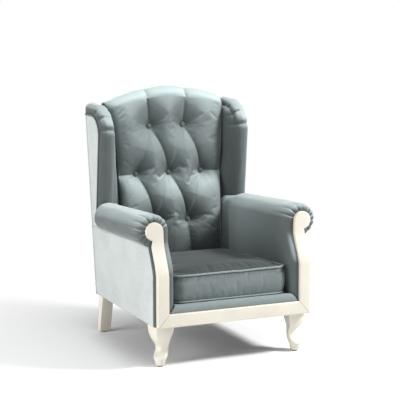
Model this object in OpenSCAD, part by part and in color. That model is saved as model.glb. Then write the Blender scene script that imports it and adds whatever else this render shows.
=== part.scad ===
// Wingback armchair with a buttoned back, rolled arms, a loose seat cushion,
// painted arm facings that sweep back, and cabriole front legs.
// The chair faces -Y. Left and right are those of a person who sits in it, so left is +X.

/* [Overall] */
// Width over the painted front trim
trim_w = 680; // [640:5:720]
// Depth from the front of the trim to the top of the back
chair_d = 820; // [790:5:860]
// Height of the crest above the floor, at the middle of the back
chair_h = 1064; // [1030:2:1100]
// Height of the body's underside above the floor
leg_h = 171; // [150:1:190]
// Lean of the back from upright, in degrees
rake = 8; // [6:0.5:10]

/* [Painted trim] */
// Height of the painted front rail
trim_h = 55; // [45:1:65]
// Thickness of the painted trim
trim_t = 26; // [20:1:30]
// Width of an arm facing
facing_w = 48; // [40:1:56]
// Height above the floor where a facing starts to sweep back
knee_z = 380; // [350:2:400]
// Height above the floor where the sweep ends
sweep_top_z = 510; // [490:2:530]
// How far a facing sweeps back
sweep_d = 55; // [40:1:70]
// Radius of the round scroll at a facing's top
scroll_r = 37; // [32:1:42]
// Diameter of the screws that hold the facings
screw_d = 4; // [3:0.5:5]
// Length of those screws
screw_l = 50; // [40:1:60]

/* [Arms] */
// Distance from the middle of the chair to an arm's inner face
arm_inner_x = 263; // [255:1:270]
// Radius of the arm roll at its front end
roll_r = 68; // [62:1:72]
// Radius of the arm roll at its rear end
roll_rear_r = 60; // [54:1:64]
// Height of the roll's axis above the floor at the front
roll_z = 555; // [545:1:570]
// How much lower the roll's axis is at the rear
roll_fall = 28; // [10:1:36]
// Thickness of the padded outer side panels
side_pad_t = 7.5; // [5:0.5:9]

/* [Wings] */
// How far a wing's front stands before the outer back, at the wing's foot
wing_low_reach = 115; // [105:1:125]
// The same at the wing's fullest height
wing_full_reach = 204; // [190:1:215]
// Height above the floor of the wing's fullest point
wing_full_z = 872; // [840:2:890]
// Height of the wing's top above the floor
wing_top_z = 1000; // [985:1:1010]
// Width of the padded front roll of a wing
wing_roll_w = 65; // [58:1:70]
// Diameter of the piping
piping_d = 8; // [6:0.5:9]

/* [Back] */
// Height of the back's shoulder above the floor, beside the wings
shoulder_z = 1004; // [990:2:1015]
// Half width of the buttoned back at the shoulder
back_top_half_w = 276; // [270:1:280]
// Half width of the buttoned back at the seat
back_low_half_w = 232; // [225:1:240]
// Thickness of the padding at its fullest
back_pad_t = 64; // [50:1:70]
// Thickness of the padding under a button
tuft_seat_t = 20; // [14:1:26]
// Diameter of a covered button
button_d = 24; // [18:1:28]
// Heights of the three rows of buttons above the floor
button_rows_z = [470, 680, 885];
// Half the spacing of the two buttons in a row of two
button_pair_x = 80; // [70:1:90]
// Spacing of the three buttons in the middle row
button_triple_x = 155; // [140:1:165]

/* [Seat cushion] */
// Width of the cushion between its pipings
cushion_w = 496; // [480:2:504]
// Clearance between the cushion's rear piping and the padding of the back
cushion_rear_gap = 2; // [1:0.5:8]
// Height of the cushion's border between the two pipings
cushion_h = 112; // [95:1:120]
// Rise of the crown above the top piping
cushion_crown = 26; // [16:1:34]
// How far the border bulges out between the pipings
cushion_bulge = 9; // [5:1:12]
// Distance from the trim's front to the cushion's front
cushion_setback = 40; // [32:1:46]
// Fall of the seat from front to rear, in degrees
seat_fall = 3.5; // [2:0.5:5]

/* [Legs] */
// Side of a front leg at its top
front_leg_w = 84; // [76:1:86]
// Width of a rear leg, across
rear_leg_w = 50; // [44:1:52]
// Depth of a rear leg at its top
rear_leg_top_d = 48; // [42:1:50]
// Depth of a rear leg at the floor
rear_leg_foot_d = 27; // [25:1:40]
// How far a rear leg's rear face leans back on its way down
rear_leg_splay = 20; // [10:1:40]
// Step in from the body's side to a rear leg's outer face
rear_leg_inset = 4; // [2:1:8]
// Distance from a front leg's middle to the middle of the chair, across
front_leg_x = 300; // [294:1:302]
// Distance from a front leg's middle to the trim's front
front_leg_y = 74; // [72:1:78]
// Diameter of a glide under a foot
glide_d = 24; // [20:1:26]
// Thickness of a glide
glide_t = 4; // [3:0.5:6]
// Diameter of the bolts that hold the legs
bolt_d = 8; // [6:1:10]
// Length of those bolts
bolt_l = 80; // [60:2:90]

/* [Frame] */
// Width of the arm posts, arm rails and back posts, across
post_w = 49; // [40:1:50]
// Thickness of the back posts, front to rear
back_post_t = 40; // [34:1:44]
// Thickness of the seat rails
seat_rail_t = 28; // [22:1:32]
// Height of the clips that hold the springs to the back rail
clip_rear_h = 1.5; // [1:0.1:3]
// Height of the seat's side rails
side_rail_h = 80; // [60:1:90]
// Height of an arm rail
arm_rail_h = 50; // [40:1:54]
// Thickness of a wing board
wing_board_t = 24; // [18:1:26]
// Height of the crest rail at its middle
crest_rail_h = 90; // [70:1:110]
// Height of the rail at the foot of the back
lower_rail_h = 45; // [35:1:55]
// Thickness of the outer back panel
back_panel_t = 6; // [4:0.5:8]
// Thickness of the padding over the crest
crest_pad_t = 22; // [16:1:28]
// Diameter of the zigzag spring wire
wire_d = 3.6; // [3:0.1:4]
// Number of zigzag springs
spring_count = 5; // [3:1:6]
// Thickness of the padded deck under the cushion
deck_t = 22; // [16:1:26]
// Height of the deck above the painted rail, under the cushion's front
deck_rise = 31; // [26:1:36]

/* [Hidden] */

// Clearance between soft pieces and what they lie against
gap = 0.3;
// Clearance of a screw or bolt in its hole, on the radius
hole_gap = 0.15;
// How far a cut runs past what it cuts
overrun = 2;
// Smallest flat that a soft edge is drawn down to
soft_edge_t = 12;

// Colours
velvet = "#6f8488";
cream = "#efe9d8";
beech = "#c9a877";
steel = "#9aa0a6";
felt = "#33363a";
webbing_colour = "#b9ad93";
zip_colour = "#55666a";

// Places shared by the pieces
front_y = -chair_d / 2;
outer_x = trim_w / 2;
post_x = outer_x - post_w;
panel_x = outer_x + gap;
panel_out_x = panel_x + side_pad_t;
trim_top_z = leg_h + trim_h;
webbing_t = 1.5;
webbing_w = 50;
post_rear_n = -back_panel_t - gap;
post_front_n = post_rear_n - back_post_t;
pad_back_n = post_front_n - 2 * webbing_t - gap;
panel_top_s = arch_s(0) - crest_pad_t / 2;
back_foot_y = chair_d / 2 - panel_top_s * sin(rake);

// Place on the leaning back: the y at height z, n forward of or behind its outer face
function back_y(z, n) = back_foot_y + z * tan(rake) + n / cos(rake);
function mix(a, b, share) = a + (b - a) * share;
function clamp_share(t) = max(0, min(1, t));
function ease(t) = let (s = clamp_share(t)) s * s * (3 - 2 * s);
// The front face of the arm facings, which sweeps back above the knee
function facing_y(z) =
    let (t = clamp_share((z - knee_z) / (sweep_top_z - knee_z)))
    front_y + sweep_d * mix(t, ease(t), 1 / 2);
// The face that the trim and the facings are fixed to
function behind_facing_y(z) = facing_y(z) + trim_t;

// A slab drawn as [y, z] points and reaching from x0 to x1
module side_slab(points, x0, x1)
    translate([x0, 0, 0]) rotate([90, 0, 90]) linear_extrude(x1 - x0) polygon(points);

// The four corners, seen from the side, of a member that leans with the back
function leaning(z0, z1, n0, n1) = [
    [back_y(z0, n0), z0], [back_y(z0, n1), z0], [back_y(z1, n1), z1], [back_y(z1, n0), z1]
];

// Draws its children in the leaning frame: x across, y out of the rear, z up the back
module on_back() translate([0, back_foot_y, 0]) rotate([-rake, 0, 0]) children();

// A closed skin between two grids of points with the same rows and columns
module grid_solid(face, lining) {
    rows = len(face);
    cols = len(face[0]);
    function id(side, j, k) = (side * rows + j) * cols + k;
    points = [for (side = [face, lining]) for (row = side) each row];
    skins = [for (j = [0:rows - 2]) for (k = [0:cols - 2]) each [
        [id(0, j, k), id(0, j + 1, k), id(0, j + 1, k + 1)],
        [id(0, j, k), id(0, j + 1, k + 1), id(0, j, k + 1)],
        [id(1, j, k), id(1, j + 1, k + 1), id(1, j + 1, k)],
        [id(1, j, k), id(1, j, k + 1), id(1, j + 1, k + 1)]]];
    ends = [for (k = [0:cols - 2]) each [
        [id(0, 0, k), id(0, 0, k + 1), id(1, 0, k + 1)],
        [id(0, 0, k), id(1, 0, k + 1), id(1, 0, k)],
        [id(0, rows - 1, k), id(1, rows - 1, k + 1), id(0, rows - 1, k + 1)],
        [id(0, rows - 1, k), id(1, rows - 1, k), id(1, rows - 1, k + 1)]]];
    edges = [for (j = [0:rows - 2]) each [
        [id(0, j, 0), id(1, j, 0), id(1, j + 1, 0)],
        [id(0, j, 0), id(1, j + 1, 0), id(0, j + 1, 0)],
        [id(0, j, cols - 1), id(1, j + 1, cols - 1), id(1, j, cols - 1)],
        [id(0, j, cols - 1), id(0, j + 1, cols - 1), id(1, j + 1, cols - 1)]]];
    polyhedron(points, concat(skins, ends, edges));
}

// A closed solid lofted through rings of points, with a fan of faces at either end
module ring_solid(rings) {
    rows = len(rings);
    cols = len(rings[0]);
    function id(j, k) = j * cols + k % cols;
    points = concat([for (ring = rings) each ring], [middle(rings[0]), middle(rings[rows - 1])]);
    walls = [for (j = [0:rows - 2]) for (k = [0:cols - 1]) each [
        [id(j, k), id(j + 1, k + 1), id(j + 1, k)],
        [id(j, k), id(j, k + 1), id(j + 1, k + 1)]]];
    caps = [for (k = [0:cols - 1]) each [
        [id(0, k + 1), id(0, k), rows * cols],
        [id(rows - 1, k), id(rows - 1, k + 1), rows * cols + 1]]];
    polyhedron(points, concat(walls, caps));
}
function middle(ring) = [for (i = [0:len(ring[0]) - 1]) let (values = [for (p = ring) p[i]])
    values * [for (p = ring) 1] / len(ring)];

// A padded panel: a grid of points for its face, and a flat back in the plane y = flat_y
module panel_solid(face, flat_y) {
    rows = len(face);
    cols = len(face[0]);
    function id(j, k) = j * cols + k;
    rim = concat([for (k = [0:cols - 2]) id(0, k)], [for (j = [0:rows - 2]) id(j, cols - 1)],
        [for (k = [cols - 1:-1:1]) id(rows - 1, k)], [for (j = [rows - 1:-1:1]) id(j, 0)]);
    front = [for (row = face) each row];
    back = [for (i = rim) [front[i][0], flat_y, front[i][2]]];
    base = len(front);
    count = len(rim);
    skin = [for (j = [0:rows - 2]) for (k = [0:cols - 2]) each [
        [id(j, k), id(j + 1, k + 1), id(j, k + 1)], [id(j, k), id(j + 1, k), id(j + 1, k + 1)]]];
    sides = [for (i = [0:count - 1]) let (next = (i + 1) % count) each [
        [rim[i], rim[next], base + next], [rim[i], base + next, base + i],
        [base + i, base + next, base + count]]];
    polyhedron(concat(front, back, [middle(back)]), concat(skin, sides));
}

// The crest's arch, as a height above the floor and as a place up the back
function arch_z(x) = mix(chair_h, shoulder_z, pow(x / back_top_half_w, 2));
function arch_s(x) = (arch_z(x) + pad_back_n * sin(rake)) / cos(rake);
function up(z) = z / cos(rake);

// The roll of an arm: how far along it a place is, its axis and its radius
roll_front_y = front_y + sweep_d + trim_t;
seam_angle = 78;
rail_drop_share = 0.52;
wing_foot_z = roll_z - roll_fall - roll_rear_r * rail_drop_share;
wing_low_y = back_y(wing_foot_z, 0) - wing_low_reach;
wing_full_y = back_y(wing_full_z, 0) - wing_full_reach;
roll_back_y = wing_low_y - gap;
// Where an arm's padding ends against the leaning front of the wing, at height z
function arm_end_y(z) =
    mix(wing_low_y, wing_full_y, clamp_share((z - wing_foot_z) / (wing_full_z - wing_foot_z))) - gap;
function roll_share(y) = clamp_share((y - roll_front_y) / (roll_back_y - roll_front_y));
function roll_radius(y) = mix(roll_r, roll_rear_r, roll_share(y));
function roll_axis_x(y) = arm_inner_x + roll_radius(y);
function roll_axis_z(y) = roll_z - roll_fall * roll_share(y);
function seam_z(y) = roll_axis_z(y) - roll_radius(y) * sin(seam_angle);
function rail_top_z(y) = roll_axis_z(y) - roll_radius(y) * rail_drop_share;

// Seat surfaces: the top of the deck and the wire's underside follow one slope
border_setback = 8;
border_d = 24;
seat_y = front_y + cushion_setback;
deck_front_z = trim_top_z + deck_rise;
border_y = front_y + border_setback;
cushion_room_d = back_y(deck_front_z, pad_back_n - back_pad_t) - seat_y;
cushion_d = cushion_room_d - piping_d - cushion_rear_gap;
function seat_z(y) = deck_front_z - (y - seat_y) * tan(seat_fall);
function wire_z(y) = seat_z(y) - deck_t - 2 * gap - wire_d / 2;

// The frame's uprights
arm_post_t = 30;
post_rear_y = roll_front_y + arm_post_t;
sweep_steps = 8;
sweep_zs = [for (i = [0:sweep_steps]) mix(knee_z, sweep_top_z, i / sweep_steps)];
scroll_x = roll_axis_x(roll_front_y);
scroll_top_z = roll_z + scroll_r;

// Wings: the path of the front roll's axis, seen from the side, and its outward direction
wing_r = wing_roll_w / 2;
wing_axis_x = panel_out_x - wing_r;
wing_bend_r = wing_top_z - wing_r - wing_full_z;
wing_edge_in = 8;
wing_seam_in = 16;
board_top_z = wing_top_z - wing_r - wing_edge_in;
wing_rows = 6;
wing_bends = 6;
wing_path = concat(
    [for (j = [0:wing_rows - 1]) let (t = j / wing_rows)
        [wing_r + mix(wing_low_y, wing_full_y, t), mix(wing_foot_z + gap, wing_full_z, t), 180, 0]],
    [for (j = [0:wing_bends]) let (a = mix(180, 90, j / wing_bends))
        [wing_r + wing_full_y + wing_bend_r * (1 + cos(a)), wing_full_z + wing_bend_r * sin(a),
         a, j / wing_bends]]);
wing_end_z = wing_top_z - wing_r;
function off_path(p, out) = [p[0] + out * cos(p[2]), p[1] + out * sin(p[2])];
function pad_half_w(z) = mix(back_low_half_w, back_top_half_w,
    pow(clamp_share((z - trim_top_z) / (shoulder_z - trim_top_z)), 2));

// Frame under the seat

module seat_front_rail()
    color(beech) translate([-post_x, front_y + trim_t, leg_h]) cube([2 * post_x, seat_rail_t, trim_h]);

spring_start_y = front_y + trim_t + seat_rail_t / 2;
spring_end_y = back_y(leg_h, post_front_n) + seat_rail_t / 2;
clip_w = 16;
clip_d = 12;
back_rail_top_z = wire_z(spring_end_y + clip_d / 2) - wire_d / 2 - gap - clip_rear_h;
module seat_back_rail()
    color(beech) side_slab(leaning(leg_h, back_rail_top_z, post_front_n, post_front_n + seat_rail_t),
        -post_x, post_x);

module seat_side_rail()
    color(beech) side_slab([
        [post_rear_y, leg_h], [back_y(leg_h, post_front_n), leg_h],
        [back_y(leg_h + side_rail_h, post_front_n), leg_h + side_rail_h], [post_rear_y, leg_h + side_rail_h]
    ], outer_x - seat_rail_t, outer_x);

module seat_side_rail_left() seat_side_rail();
module seat_side_rail_right() mirror([1, 0, 0]) seat_side_rail();

corner_w = 60;
corner_h = 18;
module corner_blocks()
    color(beech) for (side = [0, 1]) mirror([side, 0, 0]) {
        rail_y = front_y + trim_t + seat_rail_t;
        translate([0, 0, leg_h]) linear_extrude(corner_h)
            polygon([[post_x, rail_y], [post_x, rail_y + corner_w / 2], [post_x - corner_w, rail_y]]);
        back = back_y(leg_h, post_front_n);
        translate([0, 0, leg_h]) linear_extrude(corner_h)
            polygon([[outer_x - seat_rail_t, back - corner_w], [outer_x - seat_rail_t, back], [post_x, back],
                [post_x - corner_w, back]]);
    }

// Arms

screw_shares = [0.15, 0.5, 0.85];
screw_zs = [for (share = screw_shares) mix(trim_top_z, knee_z, share)];
screw_x = outer_x - facing_w / 2;
screw_in_facing = 16;

module screw_holes()
    for (z = screw_zs)
        translate([screw_x, front_y + trim_t - screw_in_facing - gap, z]) rotate([-90, 0, 0])
            cylinder(h = screw_l + 2 * gap, r = screw_d / 2 + hole_gap, $fn = 24);

module facing_screws()
    color(steel) for (side = [0, 1]) mirror([side, 0, 0]) for (z = screw_zs)
        translate([screw_x, front_y + trim_t - screw_in_facing, z]) rotate([-90, 0, 0])
            cylinder(h = screw_l, r = screw_d / 2, $fn = 24);

front_bolt_y = front_y + front_leg_y;
rear_bolt_x = outer_x - rear_leg_inset - rear_leg_w / 2;
rear_bolt_y = back_y(leg_h, post_rear_n) - rear_leg_top_d / 2;
module bolt_hole(x, y)
    translate([x, y, leg_h - bolt_l / 2 - gap])
        cylinder(h = bolt_l + 2 * gap, r = bolt_d / 2 + hole_gap, $fn = 32);

module leg_bolts()
    color(steel) for (side = [0, 1]) mirror([side, 0, 0])
        for (place = [[front_leg_x, front_bolt_y], [rear_bolt_x, rear_bolt_y]])
            translate([place[0], place[1], leg_h - bolt_l / 2]) cylinder(h = bolt_l, r = bolt_d / 2, $fn = 32);

module arm_post()
    color(beech) difference() {
        top_z = rail_top_z(roll_front_y) - arm_rail_h;
        side_slab(concat(
            [[post_rear_y, rail_top_z(post_rear_y) - arm_rail_h], [post_rear_y, leg_h],
                [behind_facing_y(leg_h), leg_h]],
            [for (z = sweep_zs) if (z < top_z) [behind_facing_y(z), z]],
            [[behind_facing_y(top_z), top_z]]), post_x, outer_x);
        screw_holes();
        bolt_hole(front_leg_x, front_bolt_y);
    }

module arm_post_left() arm_post();
module arm_post_right() mirror([1, 0, 0]) arm_post();

module arm_rail() {
    top_z = rail_top_z(roll_front_y);
    low_z = top_z - arm_rail_h;
    rear_z = rail_top_z(roll_back_y);
    front_zs = [for (i = [sweep_steps:-1:0]) if (sweep_zs[i] > low_z && sweep_zs[i] < top_z) sweep_zs[i]];
    color(beech) difference() {
        side_slab(concat([
            [behind_facing_y(low_z), low_z], [post_rear_y, rail_top_z(post_rear_y) - arm_rail_h],
            [roll_back_y, rear_z - arm_rail_h], [back_y(rear_z - arm_rail_h, post_front_n), rear_z - arm_rail_h],
            [back_y(rear_z, post_front_n), rear_z], [roll_back_y, rear_z], [behind_facing_y(top_z), top_z]
        ], [for (z = front_zs) [behind_facing_y(z), z]]), post_x, outer_x);
        // Relief at the rear end, where the lowest webbing band passes to the post
        on_back() translate([post_x - overrun, post_front_n - webbing_t - gap,
                up(button_rows_z[0]) - webbing_w / 2 - gap])
            cube([webbing_reach - post_x + overrun + gap, webbing_t + gap + overrun, webbing_w + 2 * gap]);
    }
}

module arm_rail_left() arm_rail();
module arm_rail_right() mirror([1, 0, 0]) arm_rail();

arm_rows = 8;
arm_wall_steps = 4;
arm_arc_steps = 12;
arm_cols = arm_wall_steps + arm_arc_steps;
lining_turn = arm_wall_steps + 6;
function arm_start_z(k) = k <= arm_wall_steps
    ? mix(trim_top_z, roll_z, k / arm_wall_steps)
    : roll_z + roll_r * sin(arm_angle(k));
function arm_angle(k) = mix(180, -seam_angle, (k - arm_wall_steps) / arm_arc_steps);
function arm_end_z(k) = k <= arm_wall_steps
    ? mix(trim_top_z, roll_axis_z(roll_back_y), k / arm_wall_steps)
    : roll_axis_z(roll_back_y) + roll_rear_r * sin(arm_angle(k));
function arm_y(j, k) = mix(behind_facing_y(arm_start_z(k)) + gap, arm_end_y(arm_end_z(k)), j / arm_rows);
function arm_face(j, k) =
    let (y = arm_y(j, k), r = roll_radius(y))
    k <= arm_wall_steps
    ? [arm_inner_x, y, mix(trim_top_z + gap, roll_axis_z(y), k / arm_wall_steps)]
    : [roll_axis_x(y) + r * cos(arm_angle(k)), y, roll_axis_z(y) + r * sin(arm_angle(k))];
function arm_lining(j, k) =
    let (y = arm_y(j, k), top_z = rail_top_z(y) + gap)
    k <= arm_wall_steps ? [post_x - gap, y, mix(trim_top_z + gap, top_z, k / arm_wall_steps)]
    : k <= lining_turn
    ? [mix(post_x - gap, outer_x + gap, (k - arm_wall_steps) / (lining_turn - arm_wall_steps)), y, top_z]
    : [outer_x + gap, y, mix(top_z, seam_z(y), (k - lining_turn) / (arm_cols - lining_turn))];

module arm_pad()
    color(velvet) union() {
        grid_solid([for (j = [0:arm_rows]) [for (k = [0:arm_cols]) arm_face(j, k)]],
            [for (j = [0:arm_rows]) [for (k = [0:arm_cols]) arm_lining(j, k)]]);
        grid_solid([for (i = [0:2]) [for (z = arm_corner_zs) arm_corner_face(z)[i]]],
            [for (i = [0:2]) [for (z = arm_corner_zs) arm_corner_lining(z)[i]]]);
    }

// The rear corner of an arm's padding, which draws in to meet the back
arm_corner_steps = 3;
arm_corner_zs = [for (j = [0:arm_corner_steps]) mix(trim_top_z + gap, wing_foot_z - gap, j / arm_corner_steps)];
function arm_corner_face(z) = [
    [arm_inner_x, roll_back_y - overrun, z], [arm_inner_x, roll_back_y, z],
    [pad_half_w(z) + gap, back_y(z, pad_back_n), z]];
function arm_corner_lining(z) = [
    [post_x - gap, roll_back_y - overrun, z], [post_x - gap, roll_back_y, z],
    [post_x - gap, back_y(z, pad_back_n), z]];

module arm_pad_left() arm_pad();
module arm_pad_right() mirror([1, 0, 0]) arm_pad();

module outer_arm_panel()
    color(velvet) side_slab(concat(
        [[back_y(leg_h, post_rear_n), leg_h], [behind_facing_y(leg_h) + gap, leg_h]],
        [for (z = sweep_zs) if (z < seam_z(roll_front_y)) [behind_facing_y(z) + gap, z]],
        [[roll_front_y + gap, seam_z(roll_front_y) - gap], [roll_back_y, seam_z(roll_back_y) - gap],
            [back_y(seam_z(roll_back_y) - gap, post_rear_n), seam_z(roll_back_y) - gap]]),
        panel_x, panel_out_x);

module outer_arm_panel_left() outer_arm_panel();
module outer_arm_panel_right() mirror([1, 0, 0]) outer_arm_panel();

module facing_outline()
    intersection() {
        translate([0, front_y + sweep_d + trim_t + overrun, 0]) rotate([90, 0, 0])
            linear_extrude(sweep_d + trim_t + 2 * overrun) children();
        rear_first = [for (i = [sweep_steps:-1:0]) sweep_zs[i]];
        side_slab(concat(
            [[front_y, leg_h]], [for (z = sweep_zs) [facing_y(z), z]], [[front_y + sweep_d, scroll_top_z]],
            [[front_y + sweep_d + trim_t, scroll_top_z]], [for (z = rear_first) [behind_facing_y(z), z]],
            [[front_y + trim_t, leg_h]]), 0, scroll_x + scroll_r + overrun);
    }

module arm_facing()
    color(cream) difference() {
        union() {
            facing_outline() polygon([[outer_x, leg_h], [outer_x, sweep_top_z], [scroll_x, roll_z],
                [scroll_x - scroll_r, roll_z], [outer_x - facing_w, sweep_top_z], [outer_x - facing_w, trim_top_z]]);
            translate([scroll_x, front_y + sweep_d + trim_t, roll_z]) rotate([90, 0, 0])
                cylinder(h = trim_t, r = scroll_r, $fn = 96);
        }
        screw_holes();
    }

module arm_facing_left() arm_facing();
module arm_facing_right() mirror([1, 0, 0]) arm_facing();

module front_trim_rail()
    color(cream) translate([0, front_y + trim_t, 0]) rotate([90, 0, 0]) linear_extrude(trim_t)
        polygon([[-outer_x, leg_h], [outer_x, leg_h],
            [outer_x - facing_w, trim_top_z], [facing_w - outer_x, trim_top_z]]);

// Back

module back_post()
    color(beech) difference() {
        side_slab(leaning(leg_h, board_top_z, post_front_n, post_rear_n), post_x, outer_x);
        bolt_hole(rear_bolt_x, rear_bolt_y);
    }

module back_post_left() back_post();
module back_post_right() mirror([1, 0, 0]) back_post();

arch_steps = 16;
// An arch across the back from -half_w to half_w, between two depths below the crest
module arch_band(half_w, from_s, to_s, front_n, rear_n) {
    xs = [for (i = [0:arch_steps]) mix(-half_w, half_w, i / arch_steps)];
    on_back() translate([0, rear_n, 0]) rotate([90, 0, 0]) linear_extrude(rear_n - front_n)
        polygon(concat([for (x = xs) [x, arch_s(x) - from_s]], [for (x = xs) [-x, arch_s(x) - to_s]]));
}

module back_crest_rail()
    color(beech) arch_band(post_x, crest_pad_t, crest_pad_t + crest_rail_h, post_front_n, post_front_n + seat_rail_t);

module crest_roll()
    color(velvet) arch_band(back_top_half_w, 0, crest_pad_t - gap, pad_back_n, post_rear_n);

module back_lower_rail()
    color(beech) side_slab(leaning(trim_top_z, trim_top_z + lower_rail_h, post_front_n,
        post_front_n + seat_rail_t), -post_x, post_x);

// Places of the buttons, as [across, up the back]
buttons = [
    for (x = [-button_pair_x, button_pair_x]) [x, up(button_rows_z[0])],
    for (x = [-button_triple_x, 0, button_triple_x]) [x, up(button_rows_z[1])],
    for (x = [-button_pair_x, button_pair_x]) [x, up(button_rows_z[2])]];

band_row_shares = [0, 0.5, 1];
webbing_reach = outer_x - wing_board_t - 2 * overrun;
module back_webbing()
    color(webbing_colour) on_back() difference() {
        rows = [for (i = [0:1]) for (share = band_row_shares)
            mix(up(button_rows_z[i]), up(button_rows_z[i + 1]), share)];
        low_s = up(trim_top_z) + lower_rail_h / 2;
        top_s = arch_s(button_triple_x + webbing_w / 2) - crest_pad_t - crest_rail_h / 2;
        union() {
            for (s = rows)
                translate([-webbing_reach, post_front_n - webbing_t, s - webbing_w / 2])
                    cube([2 * webbing_reach, webbing_t, webbing_w]);
            for (x = [-button_triple_x, -button_pair_x, 0, button_pair_x, button_triple_x])
                translate([x - webbing_w / 2, post_front_n - 2 * webbing_t, low_s])
                    cube([webbing_w, webbing_t, top_s - low_s]);
        }
        tie_holes();
    }

tie_d = 2;
tie_seat_n = pad_back_n - tuft_seat_t;
toggle_d = 16;
toggle_t = 3;
// Straight holes for the ties, from the buttons' seats out through the webbing
module tie_holes()
    for (b = buttons)
        translate([b[0], post_front_n + overrun, b[1]]) rotate([90, 0, 0])
            cylinder(h = overrun + post_front_n - tie_seat_n + overrun, r = tie_d / 2 + hole_gap, $fn = 16);

module button_ties()
    color(webbing_colour) on_back() for (b = buttons)
        translate([b[0], 0, b[1]]) rotate([90, 0, 0]) {
            translate([0, 0, -post_front_n - hole_gap])
                cylinder(h = post_front_n + hole_gap - tie_seat_n, r = tie_d / 2, $fn = 16);
            translate([0, 0, -post_front_n - hole_gap - toggle_t]) cylinder(h = toggle_t, r = toggle_d / 2, $fn = 24);
        }

button_edge_share = 0.25;
button_rise_share = 0.45;
module tuft_buttons()
    color(velvet) on_back() for (b = buttons)
        translate([b[0], tie_seat_n - hole_gap, b[1]]) rotate([90, 0, 0]) {
            edge_h = button_d * button_edge_share / 2;
            rise = button_d * button_rise_share / 2;
            rotate_extrude($fn = 48) polygon(concat([[0, 0], [button_d / 2, 0]],
                [for (a = [0:15:90]) [button_d / 2 * cos(a), edge_h + rise * sin(a)]]));
        }

// Folds of the tufting, each from one place to another as [across, up the back]
pair_x = button_pair_x;
triple_x = button_triple_x;
fold_ends = let (low = up(button_rows_z[0]), mid = up(button_rows_z[1]), high = up(button_rows_z[2]),
    floor_s = up(trim_top_z), top = up(chair_h), wing_x = back_top_half_w) [
    for (side = [-1, 1]) each [
        [[side * pair_x, high], [side * pair_x * 1.1, top]],
        [[side * pair_x, high], [0, mid]],
        [[side * pair_x, high], [side * triple_x, mid]],
        [[side * triple_x, mid], [side * wing_x, mid]],
        [[side * pair_x, low], [0, mid]],
        [[side * pair_x, low], [side * triple_x, mid]],
        [[side * pair_x, low], [side * pair_x, floor_s]]]];

fold_w = 22;
fold_depth_share = 0.3;
tuft_w = 46;
function along(p, a, b) = clamp_share((p - a) * (b - a) / ((b - a) * (b - a)));
function fold_dist(p, a, b) = norm(p - a - (b - a) * along(p, a, b));
function fold_cut(p) = max([for (f = fold_ends) exp(-pow(fold_dist(p, f[0], f[1]) / fold_w, 2))]);
function tuft_cut(p) = max([for (b = buttons) exp(-pow(norm(p - b) / tuft_w, 2))]);
// How thick the back's padding is at a place, given its shares across and up
function pad_t(p, across, rise) =
    let (edge = (1 - pow(across, 4)) * (1 - pow(rise, 8)) * (1 - pow(1 - rise, 10)))
    let (body = soft_edge_t + (back_pad_t - soft_edge_t) * sqrt(edge))
    max(soft_edge_t, body * (1 - fold_depth_share * fold_cut(p)) - (body - tuft_seat_t) * pow(tuft_cut(p), 1.5) * 0.6);

pad_cols = 28;
pad_rows = 34;
function pad_point(i, j) =
    let (across = 2 * i / pad_cols - 1, rise = j / pad_rows)
    let (z = mix(trim_top_z, shoulder_z, rise), x = across * pad_half_w(z))
    let (s = mix(up(trim_top_z) + overrun, arch_s(x), rise))
    [x, pad_back_n - gap, s, across, rise];

pocket_gap = 0.4;
module back_pad()
    color(velvet) on_back() difference() {
        spots = [for (j = [0:pad_rows]) [for (i = [0:pad_cols]) pad_point(i, j)]];
        panel_solid([for (row = spots) [for (p = row)
            [p[0], p[1] - pad_t([p[0], p[2]], abs(p[3]), p[4]), p[2]]]], pad_back_n - gap);
        tie_holes();
        for (b = buttons) translate([b[0], tie_seat_n, b[1]]) rotate([90, 0, 0])
            cylinder(h = back_pad_t, r = button_d / 2 + pocket_gap, $fn = 48);
    }

module outer_back_panel() {
    axis_s = up(wing_end_z);
    round_r = wing_r - gap;
    xs = [for (i = [0:arch_steps]) mix(back_top_half_w, -back_top_half_w, i / arch_steps)];
    shoulder = [for (a = [0:15:90]) [wing_axis_x + round_r * cos(a), axis_s + round_r * sin(a)]];
    top_first = [for (i = [len(shoulder) - 1:-1:0]) [-shoulder[i][0], shoulder[i][1]]];
    color(velvet) on_back() rotate([90, 0, 0]) linear_extrude(back_panel_t)
        polygon(concat([[-panel_out_x, up(leg_h)], [panel_out_x, up(leg_h)]], shoulder,
            [for (x = xs) [x, arch_s(x) - crest_pad_t / 2]], top_first));
}

// Wings

function board_line(inset) = [for (p = wing_path) off_path(p, -inset)];

module wing_frame()
    color(beech) side_slab(concat(
        [[back_y(wing_foot_z, post_front_n), wing_foot_z], [board_line(wing_edge_in)[0][0], wing_foot_z]],
        board_line(wing_edge_in), [[back_y(board_top_z, post_front_n), board_top_z]]),
        outer_x - wing_board_t, outer_x);

module wing_frame_left() wing_frame();
module wing_frame_right() mirror([1, 0, 0]) wing_frame();

module wing_outer_panel() {
    foot_z = seam_z(roll_back_y) + gap;
    inset = wing_seam_in + gap;
    top_z = wing_end_z - inset;
    color(velvet) side_slab(concat(
        [[back_y(foot_z, post_rear_n), foot_z], [roll_back_y + 2 * gap, foot_z],
            [roll_back_y + 2 * gap, wing_foot_z], [board_line(inset)[0][0], wing_foot_z]],
        board_line(inset), [[back_y(top_z, post_rear_n), top_z]]), panel_x, panel_out_x);
}

module wing_outer_panel_left() wing_outer_panel();
module wing_outer_panel_right() mirror([1, 0, 0]) wing_outer_panel();

wing_face_steps = 3;
wing_arc_steps = 7;
wing_cols = wing_face_steps + wing_arc_steps + 1;
board_in_x = outer_x - wing_board_t - gap;
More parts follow.
